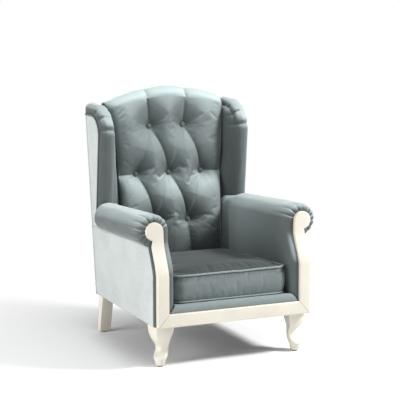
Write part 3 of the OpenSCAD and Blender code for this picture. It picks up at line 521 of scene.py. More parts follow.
class Sockets:
    """Places nodes in one material or node group and joins their sockets."""

    def __init__(self, tree: bpy.types.NodeTree) -> None:
        """Takes the tree that the nodes go into."""
        self.tree = tree

    def node(self, kind: str, **settings: object) -> bpy.types.Node:
        """Adds a node and sets its own fields.

        Args:
            kind: Blender's name of the node's type.
            settings: values for the node's own fields.

        Returns:
            The node.
        """
        made = self.tree.nodes.new(kind)
        for key, value in settings.items():
            setattr(made, key, value)
        return made

    def join(self, source: Socket, target: Socket) -> None:
        """Links one socket to another."""
        self.tree.links.new(source, target)

    def feed(self, target: Socket, value: object) -> None:
        """Gives a socket a value, or a link where the value is a socket.

        Args:
            target: the socket.
            value: a plain value, or the socket that it comes from.
        """
        if isinstance(value, bpy.types.NodeSocket):
            self.join(value, target)
        else:
            target.default_value = value

    def put(self, made: bpy.types.Node, **values: object) -> bpy.types.Node:
        """Gives a node's sockets values or links, by their names with underscores for spaces.

        Args:
            made: the node.
            values: its values or links.

        Returns:
            The same node.
        """
        for key, value in values.items():
            self.feed(made.inputs[key.replace("_", " ")], value)
        return made

    def math(self, operation: str, a: object, b: object = 0.0, c: object = 0.0) -> Socket:
        """One step of arithmetic.

        Args:
            operation: Blender's name of the step.
            a: its first number or socket.
            b: its second.
            c: its third.

        Returns:
            The result.
        """
        made = self.node("ShaderNodeMath", operation=operation)
        for socket, value in zip(made.inputs, (a, b, c)):
            self.feed(socket, value)
        return made.outputs[0]

    def blend(self, share: object, a: object, b: object) -> Socket:
        """A colour the given share of the way from a to b.

        Args:
            share: how much of b shows.
            a: the one colour.
            b: the other colour.

        Returns:
            The colour between them.
        """
        made = self.node("ShaderNodeMix", data_type="RGBA")
        self.feed(made.inputs["Factor"], share)
        self.feed(made.inputs[6], a)
        self.feed(made.inputs[7], b)
        return made.outputs[2]

    def layer(self, share: Socket, most: float, under: object, over: object) -> Socket:
        """A colour laid over another, with its strength where the share is 1."""
        return self.blend(self.math("MULTIPLY", share, most), under, over)

    def noise(self, place: Socket, scale: object, detail: float = 3.0, rough: float = 0.5,
              warp: float = 0.0) -> Socket:
        """Cloudy noise about a half, at the given number of features to a metre."""
        return self.put(self.node("ShaderNodeTexNoise"), Vector=place, Scale=scale, Detail=detail, Roughness=rough,
                        Distortion=warp).outputs["Fac"]

    def spread(self, value: object, low: float, high: float, to_low: float = 0.0, to_high: float = 1.0) -> Socket:
        """A value stretched from one range to another and clamped there.

        Args:
            value: the value.
            low: the start of its range.
            high: the end of its range.
            to_low: what the start becomes.
            to_high: what the end becomes.

        Returns:
            The stretched value.
        """
        made = self.node("ShaderNodeMapRange", clamp=True)
        self.feed(made.inputs[0], value)
        for socket, number in zip(list(made.inputs)[1:5], (low, high, to_low, to_high)):
            socket.default_value = number
        return made.outputs[0]

    def stretch(self, place: Socket, scale: Spot, turn: Spot = (0, 0, 0)) -> Socket:
        """A place with each axis scaled and turned, for grain and weave."""
        return self.put(self.node("ShaderNodeMapping"), Vector=place, Scale=scale, Rotation=turn).outputs[0]

    def bump(self, height: Socket, distance: float, strength: float = 1.0, under: Socket | None = None) -> Socket:
        """A normal from a height, over another normal where one is given.

        Args:
            height: the height, from 0 to 1.
            distance: how high 1 stands, in metres.
            strength: how strongly it shows.
            under: the normal that it lies on.

        Returns:
            The normal.
        """
        made = self.put(self.node("ShaderNodeBump"), Strength=strength, Distance=distance, Height=height)
        if under is not None:
            self.join(under, made.inputs["Normal"])
        return made.outputs[0]

    def choose(self, share: Socket, first: Socket, second: Socket, end: str) -> None:
        """Ends the tree in a mix of two shaders.

        Args:
            share: how much of the second shows.
            first: the one shader.
            second: the other shader.
            end: Blender's name of the output node.
        """
        choice = self.node("ShaderNodeMixShader")
        for target, source in zip(choice.inputs, (share, first, second)):
            self.join(source, target)
        self.join(choice.outputs[0], self.node(end).inputs["Surface"])


def new_group(name: str, inputs: dict[str, float], outputs: Sequence[str]) -> tuple[bpy.types.NodeTree, Sockets, dict]:
    """Starts a shader node group with a place and some numbers as inputs.

    Args:
        name: the effect's name.
        inputs: the name and usual value of each number.
        outputs: the name of each value it gives.

    Returns:
        The group, its node placer, and its sockets by name.
    """
    group = bpy.data.node_groups.new(name, "ShaderNodeTree")
    group.interface.new_socket("Place", in_out="INPUT", socket_type="NodeSocketVector")
    for key, value in inputs.items():
        group.interface.new_socket(key, in_out="INPUT", socket_type="NodeSocketFloat").default_value = value
    for key in outputs:
        group.interface.new_socket(key, in_out="OUTPUT", socket_type="NodeSocketFloat")
    kit = Sockets(group)
    start, end = kit.node("NodeGroupInput"), kit.node("NodeGroupOutput")
    sockets = {s.name: s for s in start.outputs if s.name}
    sockets.update({"to " + s.name: s for s in end.inputs if s.name})
    return group, kit, sockets


class Effects:
    """The effects that several finishes share, each a node group that is built once."""

    def __init__(self) -> None:
        """Builds every group."""
        self.pile = self._pile()
        self.weave = self._weave()
        self.wood_grain = self._wood_grain()
        self.handling = self._handling()

    def _pile(self) -> bpy.types.NodeTree:
        """Velvet pile: tufts for the bump, soft patches where the nap lies another way, and faint brush marks.

        Returns:
            The node group.
        """
        group, kit, s = new_group("velvet_pile", {"Patch": 9.0}, ["Tufts", "Nap", "Brushed"])
        fine = kit.noise(s["Place"], 2600, 2, 0.7)
        coarse = kit.noise(s["Place"], 700, 2, 0.6)
        kit.join(kit.math("MULTIPLY_ADD", coarse, 0.6, kit.math("MULTIPLY", fine, 0.4)), s["to Tufts"])
        kit.join(kit.spread(kit.noise(s["Place"], s["Patch"], 4, warp=0.6), 0.32, 0.68), s["to Nap"])
        strokes = kit.noise(kit.stretch(s["Place"], (30, 30, 90), (0.5, 0.3, 0)), 1.0, 4, 0.6)
        kit.join(kit.spread(strokes, 0.35, 0.68), s["to Brushed"])
        return group

    def _weave(self) -> bpy.types.NodeTree:
        """A plain weave: threads over and under each other, for backings, tapes and webbing.

        Returns:
            The node group.
        """
        group, kit, s = new_group("plain_weave", {"Threads": 900.0}, ["Over", "Fleck"])
        parts = kit.node("ShaderNodeSeparateXYZ")
        kit.join(s["Place"], parts.inputs[0])
        height = kit.math("ADD", parts.outputs["Y"], parts.outputs["Z"])
        warp, weft = (kit.math("SINE", kit.math("MULTIPLY", kit.math("MULTIPLY", along, s["Threads"]), pi))
                      for along in (parts.outputs["X"], height))
        kit.join(kit.math("MULTIPLY_ADD", kit.math("MULTIPLY", warp, weft), 0.5, 0.5), s["to Over"])
        kit.join(kit.noise(s["Place"], 350, 3, 0.7), s["to Fleck"])
        return group

    def _wood_grain(self) -> bpy.types.NodeTree:
        """Beech grain along X: growth bands, pores and small flecks.

        Returns:
            The node group.
        """
        group, kit, s = new_group("wood_grain", {"Bands": 28.0}, ["Band", "Pore", "Fleck"])
        drawn = kit.stretch(s["Place"], (0.08, 1, 1))
        bend = kit.noise(drawn, 6, 3)
        bands = kit.math("MULTIPLY", kit.noise(drawn, s["Bands"], 5), 0.7)
        kit.join(kit.math("MULTIPLY_ADD", bend, 0.3, bands), s["to Band"])
        pores = kit.noise(kit.stretch(s["Place"], (60, 1400, 1400)), 1.0, 2, 0.7)
        kit.join(kit.spread(pores, 0.58, 0.72), s["to Pore"])
        fleck = kit.noise(kit.stretch(s["Place"], (90, 400, 400)), 1.0, 1)
        kit.join(kit.spread(fleck, 0.6, 0.7), s["to Fleck"])
        return group

    def _handling(self) -> bpy.types.NodeTree:
        """Marks of use: faint smudges and sparse small chips or specks.

        Returns:
            The node group.
        """
        group, kit, s = new_group("handling", {"Speck": 160.0}, ["Smudge", "Chip"])
        kit.join(kit.spread(kit.noise(s["Place"], 14, 5, 0.62), 0.45, 0.75), s["to Smudge"])
        kit.join(kit.spread(kit.noise(s["Place"], s["Speck"], 4), 0.70, 0.74), s["to Chip"])
        return group


@dataclass(frozen=True)
class Shade:
    """A colour by its sRGB parts from 0 to 255."""

    red: int
    green: int
    blue: int

    def linear(self, gain: float = 1.0) -> tuple[float, float, float, float]:
        """The colour as a shader takes it, made lighter or darker by gain.

        Args:
            gain: how much lighter it becomes.

        Returns:
            Red, green, blue and opacity from 0 to 1.
        """
        parts = []
        for part in (self.red, self.green, self.blue):
            c = part / 255
            parts.append(min(1.0, gain * (c / 12.92 if c <= 0.04045 else ((c + 0.055) / 1.055) ** 2.4)))
        return (*parts, 1.0)


class Finish:
    """A finish of the chair: a material of nodes that ends in one Principled shader."""

    name = "finish"

    def __init__(self, effects: Effects) -> None:
        """Builds the material.

        Args:
            effects: the shared node groups.
        """
        self.effects = effects
        self.material = bpy.data.materials.new(self.name)
        self.material.use_nodes = True
        tree = self.material.node_tree
        tree.nodes.clear()
        self.kit = Sockets(tree)
        self.shader = self.kit.node("ShaderNodeBsdfPrincipled")
        self.kit.join(self.shader.outputs[0], self.kit.node("ShaderNodeOutputMaterial").inputs["Surface"])
        self.place = self.kit.node("ShaderNodeTexCoord").outputs["Object"]
        self.build()

    def build(self) -> None:
        """Places the finish's own nodes."""

    def effect(self, group: bpy.types.NodeTree, **values: float) -> bpy.types.Node:
        """Places a shared effect with its own values."""
        return self.kit.put(self.kit.node("ShaderNodeGroup", node_tree=group), Place=self.place, **values)

    def shade(self, name: str) -> Socket:
        """A number that the piece stores per vertex."""
        return self.kit.node("ShaderNodeAttribute", attribute_name=name).outputs["Fac"]

    def set(self, **values: object) -> None:
        """Gives the shader's sockets values or links, by their names with underscores for spaces."""
        self.kit.put(self.shader, **values)

    def dress(self, piece: Piece) -> None:
        """Gives the finish to a piece or a carried-over node.

        Args:
            piece: the piece or node.
        """
        slots = piece.data.materials
        if not slots:
            slots.append(self.material)
        for i in range(len(slots)):
            slots[i] = self.material


@dataclass(frozen=True)
class Nap:
    """One copy of the velvet: its colour, a gain that lightens or darkens it as painted light, how strongly the pile
    shines at a glance, and its painted shade in folds.
    """

    shade: Shade
    gain: float = 1.0
    sheen: float = 0.5
    fold_dark: float = 0.55


class Velvet(Finish):
    """Blue-grey velvet: short dense pile with soft nap patches, painted shade in folds, painted light and shade by the
    way each surface faces, and paler rubbed crowns.
    """

    def __init__(self, effects: Effects, name: str, nap: Nap) -> None:
        """Builds one copy of the velvet.

        Args:
            effects: the shared node groups.
            name: the material's name.
            nap: this copy's colour, painted light gain, sheen and painted fold shade.
        """
        self.name = name
        self.nap = nap
        super().__init__(effects)

    def build(self) -> None:
        """Places the pile, nap patches, painted shade in folds, rubbed crowns, and painted light and shade by facing.
        """
        kit, nap = self.kit, self.nap
        pile = self.effect(self.effects.pile)
        colour = kit.blend(pile.outputs["Nap"], nap.shade.linear(nap.gain * 0.9), nap.shade.linear(nap.gain * 1.08))
        # Brush marks and tufts are the cloth's own; then come painted shade in folds, paler rubbed crowns, and painted
        # light and painted shade laid by facing.
        for mask, share, gain in ((pile.outputs["Brushed"], 0.35, 1.2),
                                  (kit.spread(pile.outputs["Tufts"], 0.3, 0.7), 0.35, 0.78),
                                  (self.shade("fold"), nap.fold_dark, 0.32), (self.shade("crown"), 0.3, 1.35),
                                  (self.shade("with_nap"), 0.9, 3.6), (self.shade("against_nap"), 1.0, 0.2)):
            colour = kit.layer(mask, share, colour, nap.shade.linear(nap.gain * gain))
        soft = kit.bump(kit.noise(self.place, 60, 3, 0.55), 0.0016, 0.55)
        self.set(Base_Color=colour, Roughness=kit.spread(pile.outputs["Nap"], 0, 1, 0.72, 0.86),
                 Normal=kit.bump(pile.outputs["Tufts"], 0.0005, 0.7, soft), Specular_IOR_Level=0.22,
                 Sheen_Weight=nap.sheen, Sheen_Roughness=0.3, Sheen_Tint=Shade(222, 228, 228).linear())


class CreamPaint(Finish):
    """Hand-painted satin cream over wood: brush lines along the piece, faint smudges, dulled joints and worn edges."""

    name = "cream_paint"

    def build(self) -> None:
        """Places the brush lines, smudges, chips and the dark of the joints."""
        kit = self.kit
        marks = self.effect(self.effects.handling, Speck=240.0)
        base = kit.blend(kit.spread(kit.noise(self.place, 5, 3), 0.35, 0.65), Shade(210, 206, 195).linear(),
                         Shade(203, 198, 185).linear())
        aged = kit.layer(marks.outputs["Smudge"], 0.22, base, Shade(205, 192, 163).linear())
        joint = kit.layer(self.shade("joint"), 0.75, aged, Shade(120, 106, 84).linear())
        worn = kit.layer(kit.math("MULTIPLY", self.shade("edge"), marks.outputs["Chip"]), 0.6, joint,
                         Shade(176, 146, 104).linear())
        strokes = kit.noise(kit.stretch(self.place, (700, 700, 45)), 1.0, 3, 0.6)
        laid = kit.bump(strokes, 0.00035, 0.35)
        self.set(Base_Color=worn, Roughness=kit.spread(marks.outputs["Smudge"], 0, 1, 0.36, 0.5),
                 Normal=kit.bump(kit.noise(self.place, 900, 2), 0.0001, 0.3, laid),
                 Specular_IOR_Level=0.42, Coat_Weight=0.08, Coat_Roughness=0.3)


class Beech(Finish):
    """Planed beech of the inner frame, unfinished."""

    name = "bare_beech"

    def build(self) -> None:
        """Places the growth bands, pores and flecks."""
        kit = self.kit
        grain = self.effect(self.effects.wood_grain)
        base = kit.blend(kit.spread(grain.outputs["Band"], 0.35, 0.65), Shade(206, 168, 124).linear(),
                         Shade(182, 140, 96).linear())
        pored = kit.layer(grain.outputs["Pore"], 0.45, base, Shade(128, 92, 60).linear())
        flecked = kit.layer(grain.outputs["Fleck"], 0.4, pored, Shade(222, 190, 150).linear())
        self.set(Base_Color=flecked, Roughness=kit.spread(grain.outputs["Band"], 0, 1, 0.5, 0.68),
                 Normal=kit.bump(grain.outputs["Pore"], 0.0002, 0.4))


class Steel(Finish):
    """Zinc-plated steel of springs, clips, bolts and screws."""

    name = "plated_steel"

    def build(self) -> None:
        """Places the drawn lines and dulled patches."""
        kit = self.kit
        marks = self.effect(self.effects.handling, Speck=500.0)
        base = kit.blend(marks.outputs["Smudge"], Shade(186, 190, 194).linear(), Shade(150, 153, 152).linear())
        rusty = kit.layer(marks.outputs["Chip"], 0.5, base, Shade(120, 98, 78).linear())
        self.set(Base_Color=rusty, Roughness=kit.spread(marks.outputs["Smudge"], 0, 1, 0.26, 0.5),
                 Normal=kit.bump(kit.noise(self.place, 1500, 2), 0.00005, 0.4), Metallic=1.0)


@dataclass(frozen=True)
class Cloth:
    """The colour, thread count and name of a woven backing or tape."""

    name: str
    light: Shade
    dark: Shade
    threads: float


class Woven(Finish):
    """A plain woven cloth: jute webbing, zip tape or the lining under the seat."""

    def __init__(self, effects: Effects, cloth: Cloth) -> None:
        """Builds the cloth.

        Args:
            effects: the shared node groups.
            cloth: its colours and thread count.
        """
        self.name = cloth.name
        self.cloth = cloth
        super().__init__(effects)

    def build(self) -> None:
        """Places the threads and their flecks."""
        kit = self.kit
        weave = self.effect(self.effects.weave, Threads=self.cloth.threads)
        base = kit.blend(weave.outputs["Over"], self.cloth.dark.linear(), self.cloth.light.linear())
        flecked = kit.blend(kit.spread(weave.outputs["Fleck"], 0.4, 0.8, 0, 0.5), base, self.cloth.dark.linear())
        self.set(Base_Color=flecked, Roughness=kit.spread(weave.outputs["Fleck"], 0, 1, 0.75, 0.95),
                 Normal=kit.bump(weave.outputs["Over"], 0.0003, 0.6), Specular_IOR_Level=0.2)


class GlidePlastic(Finish):
    """Matt black plastic of the glides, scuffed by the floor."""

    name = "glide_plastic"

    def build(self) -> None:
        """Places the scuffs and moulding grain."""
        kit = self.kit
        marks = self.effect(self.effects.handling, Speck=700.0)
        scuffed = kit.layer(marks.outputs["Smudge"], 0.5, Shade(46, 43, 40).linear(), Shade(88, 84, 78).linear())
        self.set(Base_Color=scuffed,
                 Roughness=kit.spread(marks.outputs["Smudge"], 0, 1, 0.45, 0.7),
                 Normal=kit.bump(kit.noise(self.place, 2200, 2), 0.0001, 0.4))


class Finishes:
    """Every finish of the chair, built once."""

    def __init__(self) -> None:
        """Builds the materials."""
        effects = Effects()
        blue = Shade(85, 92, 92)
        # The four velvets are one cloth: their different gains and the panels' paler colour are painted light and
        # shade, set piece by piece.
        self.velvet = Velvet(effects, "velvet", Nap(blue, gain=1.05, sheen=0.9))
        self.back_velvet = Velvet(effects, "velvet_back", Nap(blue, gain=1.3, sheen=0.95, fold_dark=0.86))
        self.seat_velvet = Velvet(effects, "velvet_seat", Nap(blue, gain=1.6, sheen=0.45))
        self.panel_velvet = Velvet(effects, "velvet_panels", Nap(Shade(158, 163, 161), gain=1.3, sheen=1.0))
        self.paint = CreamPaint(effects)
        self.beech = Beech(effects)
        self.steel = Steel(effects)
        self.webbing = Woven(effects, Cloth("jute_webbing", Shade(190, 172, 136), Shade(134, 112, 78), 420.0))
        self.lining = Woven(effects, Cloth("black_lining", Shade(52, 54, 58), Shade(26, 27, 30), 1300.0))
        self.zip_tape = Woven(effects, Cloth("zip_tape", Shade(92, 106, 111), Shade(58, 70, 75), 1100.0))
        self.glide = GlidePlastic(effects)


def hand_over(obj: Piece, finish: Finish, *nodes: str, body: str = CHAIR, slot: str = "velvet",
              fill: float | None = None) -> None:
    """Dresses a piece, parents it to the empty of the body that carries it, and hides the carried-over nodes that it
    replaces.

    Args:
        obj: the piece.
        finish: its finish.
        nodes: the carried-over nodes that it replaces.
        body: the body that it rides on.
        slot: not used.
        fill: not used.
    """
    finish.dress(obj)
    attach(obj, body)
    if nodes:
        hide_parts(*nodes)
    log.info("%s: %d faces", obj.name, len(obj.data.polygons))


@dataclass(frozen=True)
class Fold:
    """A fold of the tufting, from one place to another as (across, up the back), with its depth at either end."""

    start: tuple[float, float]
    end: tuple[float, float]
    start_depth: float = 1.0
    end_depth: float = 1.0
    mid_depth: float = 0.62
    bow: float = 0.0
    crisp: float = 1.0

    def cut(self, x: np.ndarray, s: np.ndarray, reach: float = 0.034) -> np.ndarray:
        """How deep the fold is drawn at each place, from 0 to 1.

        Args:
            x: places across.
            s: places up the back.
            reach: how far from the fold its pull is felt.

        Returns:
            How deep the fold is at each place, from 0 to 1.
        """
        ax, ay = self.start
        bx, by = self.end[0] - ax, self.end[1] - ay
        t = np.clip(((x - ax) * bx + (s - ay) * by) / (bx * bx + by * by), 0, 1)
        bend, length = self.bow * np.sin(pi * t), hypot(bx, by)
        dx, dy = x - ax - t * bx + bend * by / length, s - ay - t * by - bend * bx / length
        distance = np.hypot(dx, dy)
        ends = self.start_depth * (1 - t) + self.end_depth * t
        depth = ends - (ends - self.mid_depth) * np.sin(pi * t) ** 0.8
        if self.end_depth < 1:
            depth = self.start_depth + (self.end_depth - self.start_depth) * t**0.7
        return depth * np.exp(-distance / reach)


@dataclass
class ButtonedBack:
    """The buttoned back: deep pillows drawn down by seven covered buttons, rolling over the arched crest."""

    finishes: Finishes
    pad_t: float = 0.074
    edge_t: float = 0.012
    seat_t: float = 0.013
    rows_z: tuple[float, float, float] = (0.470, 0.680, 0.885)
    pair_x: float = 0.080
    triple_x: float = 0.155
    button_r: float = 0.012
    columns: int = 128
    rows: int = 150
    roll_rows: int = 20
    crest_drop: float = 0.046
    fold_bow: float = 0.009
    fold_share: float = 0.64
    crease_reach: float = 0.0065
    well_reach: float = 0.041
    pucker_h: float = 0.0011
    buttons: list[tuple[float, float]] = field(default_factory=list)

    def __post_init__(self) -> None:
        """Places the buttons and the folds between them."""
        low, mid, high = (LINES.up(z) for z in self.rows_z)
        pair, triple = self.pair_x, self.triple_x
        self.buttons = [(-pair, low), (pair, low), (-triple, mid), (0.0, mid), (triple, mid), (-pair, high),
                        (pair, high)]
        top = LINES.up(LINES.height)
        self.folds: list[Fold] = []
        for side in (-1, 1):
            self.folds += [
                Fold((side * pair, high), (side * pair * 1.22, top), 1.0, 0.5),
                Fold((side * triple, mid), (side * LINES.back_half_w, mid - 0.004), 1.0, 0.55),
                Fold((side * pair, low), (side * pair * 1.04, LINES.up(LINES.trim_top_z)), 1.0, 0.7),
            ]
        for upper, lower in (((-pair, high), (0.0, mid)), ((pair, high), (triple, mid)),
                             ((-triple, mid), (-pair, low)), ((0.0, mid), (pair, low))):
            self.folds.append(Fold(upper, lower, 1.0, 1.0, 0.64, bow=self.fold_bow))
        for upper, lower in (((pair, high), (0.0, mid)), ((-pair, high), (-triple, mid)),
                             ((triple, mid), (pair, low)), ((0.0, mid), (-pair, low))):
            self.folds.append(Fold(upper, lower, 1.0, 1.0, 0.34, crisp=0.35))

    def puckers(self, x: np.ndarray, s: np.ndarray) -> np.ndarray:
        """Fine creases that run out from each button.

        Args:
            x: places across.
            s: places up the back.

        Returns:
            How far they stand out at each place, in metres.
        """
        total = np.zeros_like(x)
        for i, (bx, bs) in enumerate(self.buttons):
            r, a = np.hypot(x - bx, s - bs), np.arctan2(s - bs, x - bx)
            bent = a + 0.25 * np.sin(2 * a + i) + 4 * r * sin(1.7 * i + 0.6)
            wave = np.cos(11 * bent + 2.1 * i) + 0.6 * np.cos(19 * bent + 1.3 * i + 25 * r)
            near = np.clip((r - 0.009) / 0.012, 0, 1) * np.exp(-np.maximum(r - 0.012, 0) / 0.030)
            total += self.pucker_h * wave * near
        return total

    def surface(self, x: np.ndarray, s: np.ndarray, across: np.ndarray,
                rise: np.ndarray) -> tuple[np.ndarray, np.ndarray]:
        """How thick the padding is at each place, and how much painted shade it gets in creases, button wells and at
        the sides.

        Args:
            x: places across.
            s: places up the back.
            across: the share of the half width.
            rise: the share of the height.

        Returns:
            The thickness of the padding and the painted shade of creases and wells at each place.
        """
        edge = (1 - across**9) * (1 - (1 - rise) ** 10) * (1 - 0.32 * rise**7)
        body = self.edge_t + (self.pad_t - self.edge_t) * np.sqrt(np.clip(edge, 0, 1))
        cut = np.max([fold.cut(x, s) for fold in self.folds], axis=0)
        line = np.max([fold.crisp * fold.cut(x, s, self.crease_reach) for fold in self.folds], axis=0)
        away = np.min([np.maximum(np.hypot(x - bx, s - bs) - 0.007, 0) for bx, bs in self.buttons], axis=0)
        pull = np.exp(-((away / self.well_reach) ** 1.2))
        fade = np.clip((1 - across**2) / 0.10, 0, 1)
        thick = body * (1 - self.fold_share * cut * fade)
        thick = thick - (thick - self.seat_t) * pull * np.clip((body - self.seat_t) / 0.02, 0, 1)
        thick = thick + self.puckers(x, s) * np.clip((thick - self.seat_t) / 0.02, 0, 1)
        # Painted shade in the creases, round the button wells and at the pad's sides.
        dark = np.maximum(line * 1.05 - 0.1, np.exp(-away / 0.019))
        dark = np.maximum(dark, np.clip((across - 0.955) / 0.03, 0, 1))
        return np.maximum(thick, self.edge_t * 0.9), np.clip(dark, 0, 1)

    def build(self) -> None:
        """Makes the padded face and its buttons."""
        u = np.linspace(-1, 1, self.columns + 1)
        v = np.linspace(0, 1, self.rows + 1)
        low = LINES.up(LINES.trim_top_z) + 0.002
        across, rise = np.meshgrid(u, v)
        z = LINES.trim_top_z + (LINES.shoulder_z - LINES.trim_top_z) * rise
        share = np.clip((z - LINES.trim_top_z) / (LINES.shoulder_z - LINES.trim_top_z), 0, 1)
        x = across * (LINES.back_low_half_w + (LINES.back_half_w - LINES.back_low_half_w) * share**2)
        top = np.vectorize(LINES.arch_s)(x) - self.crest_drop
        s = low + (top - low) * rise
        thick, fold = self.surface(x, s, np.abs(across), rise)
        n = LINES.pad_back_n - LINES.gap - thick
        grid = [[LINES.on_back(float(x[j, i]), float(n[j, i]), float(s[j, i])) for i in range(self.columns + 1)]
                for j in range(self.rows + 1)]
        folds = [list(row) for row in fold]
        rear_n = LINES.post_rear_n + 0.001
        for j in range(1, self.roll_rows + 1):
            turn = pi * j / self.roll_rows
            row, dark = [], []
            for i in range(self.columns + 1):
                front, line_x = float(n[-1, i]), float(x[-1, i])
                half = (rear_n - front) / 2
                drop = self.crest_drop if turn < pi / 2 else 0.016
                lift = drop * sin(turn) ** 0.9 - (drop - self.crest_drop if turn >= pi / 2 else 0)
                place_s = float(s[-1, i]) + lift
                reach = half * (1 - copysign(abs(cos(turn)) ** 0.85, cos(turn)))
                over = np.array([line_x]), np.array([float(s[-1, i]) + 0.03])
                crease = max(f.cut(*over)[0] for f in (self.folds[0], self.folds[3]))
                sink = 0.014 * crease * sin(turn) ** 0.5 * (1 - 0.55 * j / self.roll_rows)
                row.append(LINES.on_back(line_x, front + reach + sink * cos(turn),
                                         place_s - sink * sin(turn)))
                # Painted shade where the creases run over the crest roll.
                dark.append(clamp(crease * 0.8 * (1 - 0.6 * j / self.roll_rows)))
            grid.append(row)
            folds.append(dark)
        obj = shell("buttoned_back", grid, folds=folds)
        held = []
        for j, row in enumerate(folds):
            for i, value in enumerate(row):
                rim = j in (0, len(grid) - 1) or i in (0, self.columns)
                beside = clamp((abs(2 * i / self.columns - 1) - 0.84) / 0.1)
                held.append(1.0 if rim else max(beside, clamp(value * 1.5 - 0.28)))
        settle_cloth(obj, held, cap=0.006, pressure=2.0, slack=0.006, frames=18, bend=1.2)
        apply_modifier(obj, "SUBSURF", levels=1, render_levels=1)
        self.close_behind(obj)
        spots = np.array([v.co for v in obj.data.vertices])
        out_n = (spots[:, 1] - LINES.foot_y) * cos(LINES.rake) - spots[:, 2] * sin(LINES.rake)
        set_shade(obj, "crown", np.clip((LINES.pad_back_n - 0.046 - out_n) / 0.016, 0, 1))
        # Painted light on up-facing pillows, stronger on the lower rows, and on the crest's top; painted shade at the
        # foot of the back behind the cushion.
        lay_nap(obj, lambda place, normal: mix(0.72, 0.29, clamp((place.z - 0.70) / 0.09))
                * clamp((normal.z + 0.04) / 0.65) - 0.75 * clamp((0.50 - place.z) / 0.09)
                + 0.8 * clamp((normal.z - 0.05) / 0.4) * clamp((place.z - 0.90) / 0.06))
        hand_over(obj, self.finishes.back_velvet, "back_pad", "crest_roll", fill=0.75)
        self.covered_buttons()

    def close_behind(self, obj: Piece) -> None:
        """Draws the rim of the padded face back to the frame and closes it behind.

        Args:
            obj: the padded face.
        """
        c, t = cos(LINES.rake), sin(LINES.rake)
        with mesh_of(obj) as work:
            drawn = bmesh.ops.extrude_edge_only(work, edges=[e for e in work.edges if e.is_boundary])
            for v in (g for g in drawn["geom"] if isinstance(g, bmesh.types.BMVert)):
                n = (v.co.y - LINES.foot_y) * c - v.co.z * t
                s = (v.co.y - LINES.foot_y) * t + v.co.z * c
                target = max(LINES.pad_back_n, min(n, LINES.post_rear_n))
                v.co = Vector(LINES.on_back(v.co.x * 0.999, target, s - (0.02 if n > -0.03 else 0)))
        cap_rim(obj)

    def covered_buttons(self) -> None:
        """Models one covered button, with its cloth gathered at the rim, and sets seven copies in their tufts."""
        deselect()
        bpy.ops.mesh.primitive_uv_sphere_add(segments=28, ring_count=16, radius=self.button_r)
        button = bpy.context.object
        bpy.ops.object.mode_set(mode="EDIT")
        bpy.ops.mesh.select_all(action="SELECT")
        bpy.ops.transform.resize(value=(1, 1, 0.52))
        bpy.ops.object.mode_set(mode="OBJECT")
        for v in button.data.vertices:
            a, r = atan2(v.co.y, v.co.x), hypot(v.co.x, v.co.y)
            v.co.z += 0.00045 * cos(14 * a + 9 * v.co.z / self.button_r) * (r / self.button_r) ** 3
            if v.co.z < 0:
                v.co.z *= 0.6
        button.data.polygons.foreach_set("use_smooth", [True] * len(button.data.polygons))
        # Painted shade round the button's rim, where it sinks into its tuft.
        set_shade(button, "fold", [0.55 * clamp((hypot(v.co.x, v.co.y) / self.button_r) ** 6)
                                   for v in button.data.vertices])
        seat_n = LINES.pad_back_n - self.seat_t - 0.0005
        copies = []
        for i, (x, s) in enumerate(self.buttons):
            copy = link(button.copy())
            copy.data = button.data.copy()
            turn = Matrix.Rotation(-LINES.rake, 4, "X") @ Matrix.Rotation(pi / 2, 4, "X")
            spin = Matrix.Rotation(0.5 + 1.1 * i, 4, "Z")
            copy.data.transform(Matrix.Translation(LINES.on_back(x, seat_n - 0.0015, s)) @ turn @ spin)
            copies.append(copy)
        bpy.data.objects.remove(button)
        deselect()
        for copy in copies:
            copy.select_set(True)
        bpy.context.view_layer.objects.active = copies[0]
        bpy.ops.object.join()
        joined = bpy.context.object
        joined.name = "covered_buttons"
        hand_over(joined, self.finishes.velvet, "tuft_buttons")


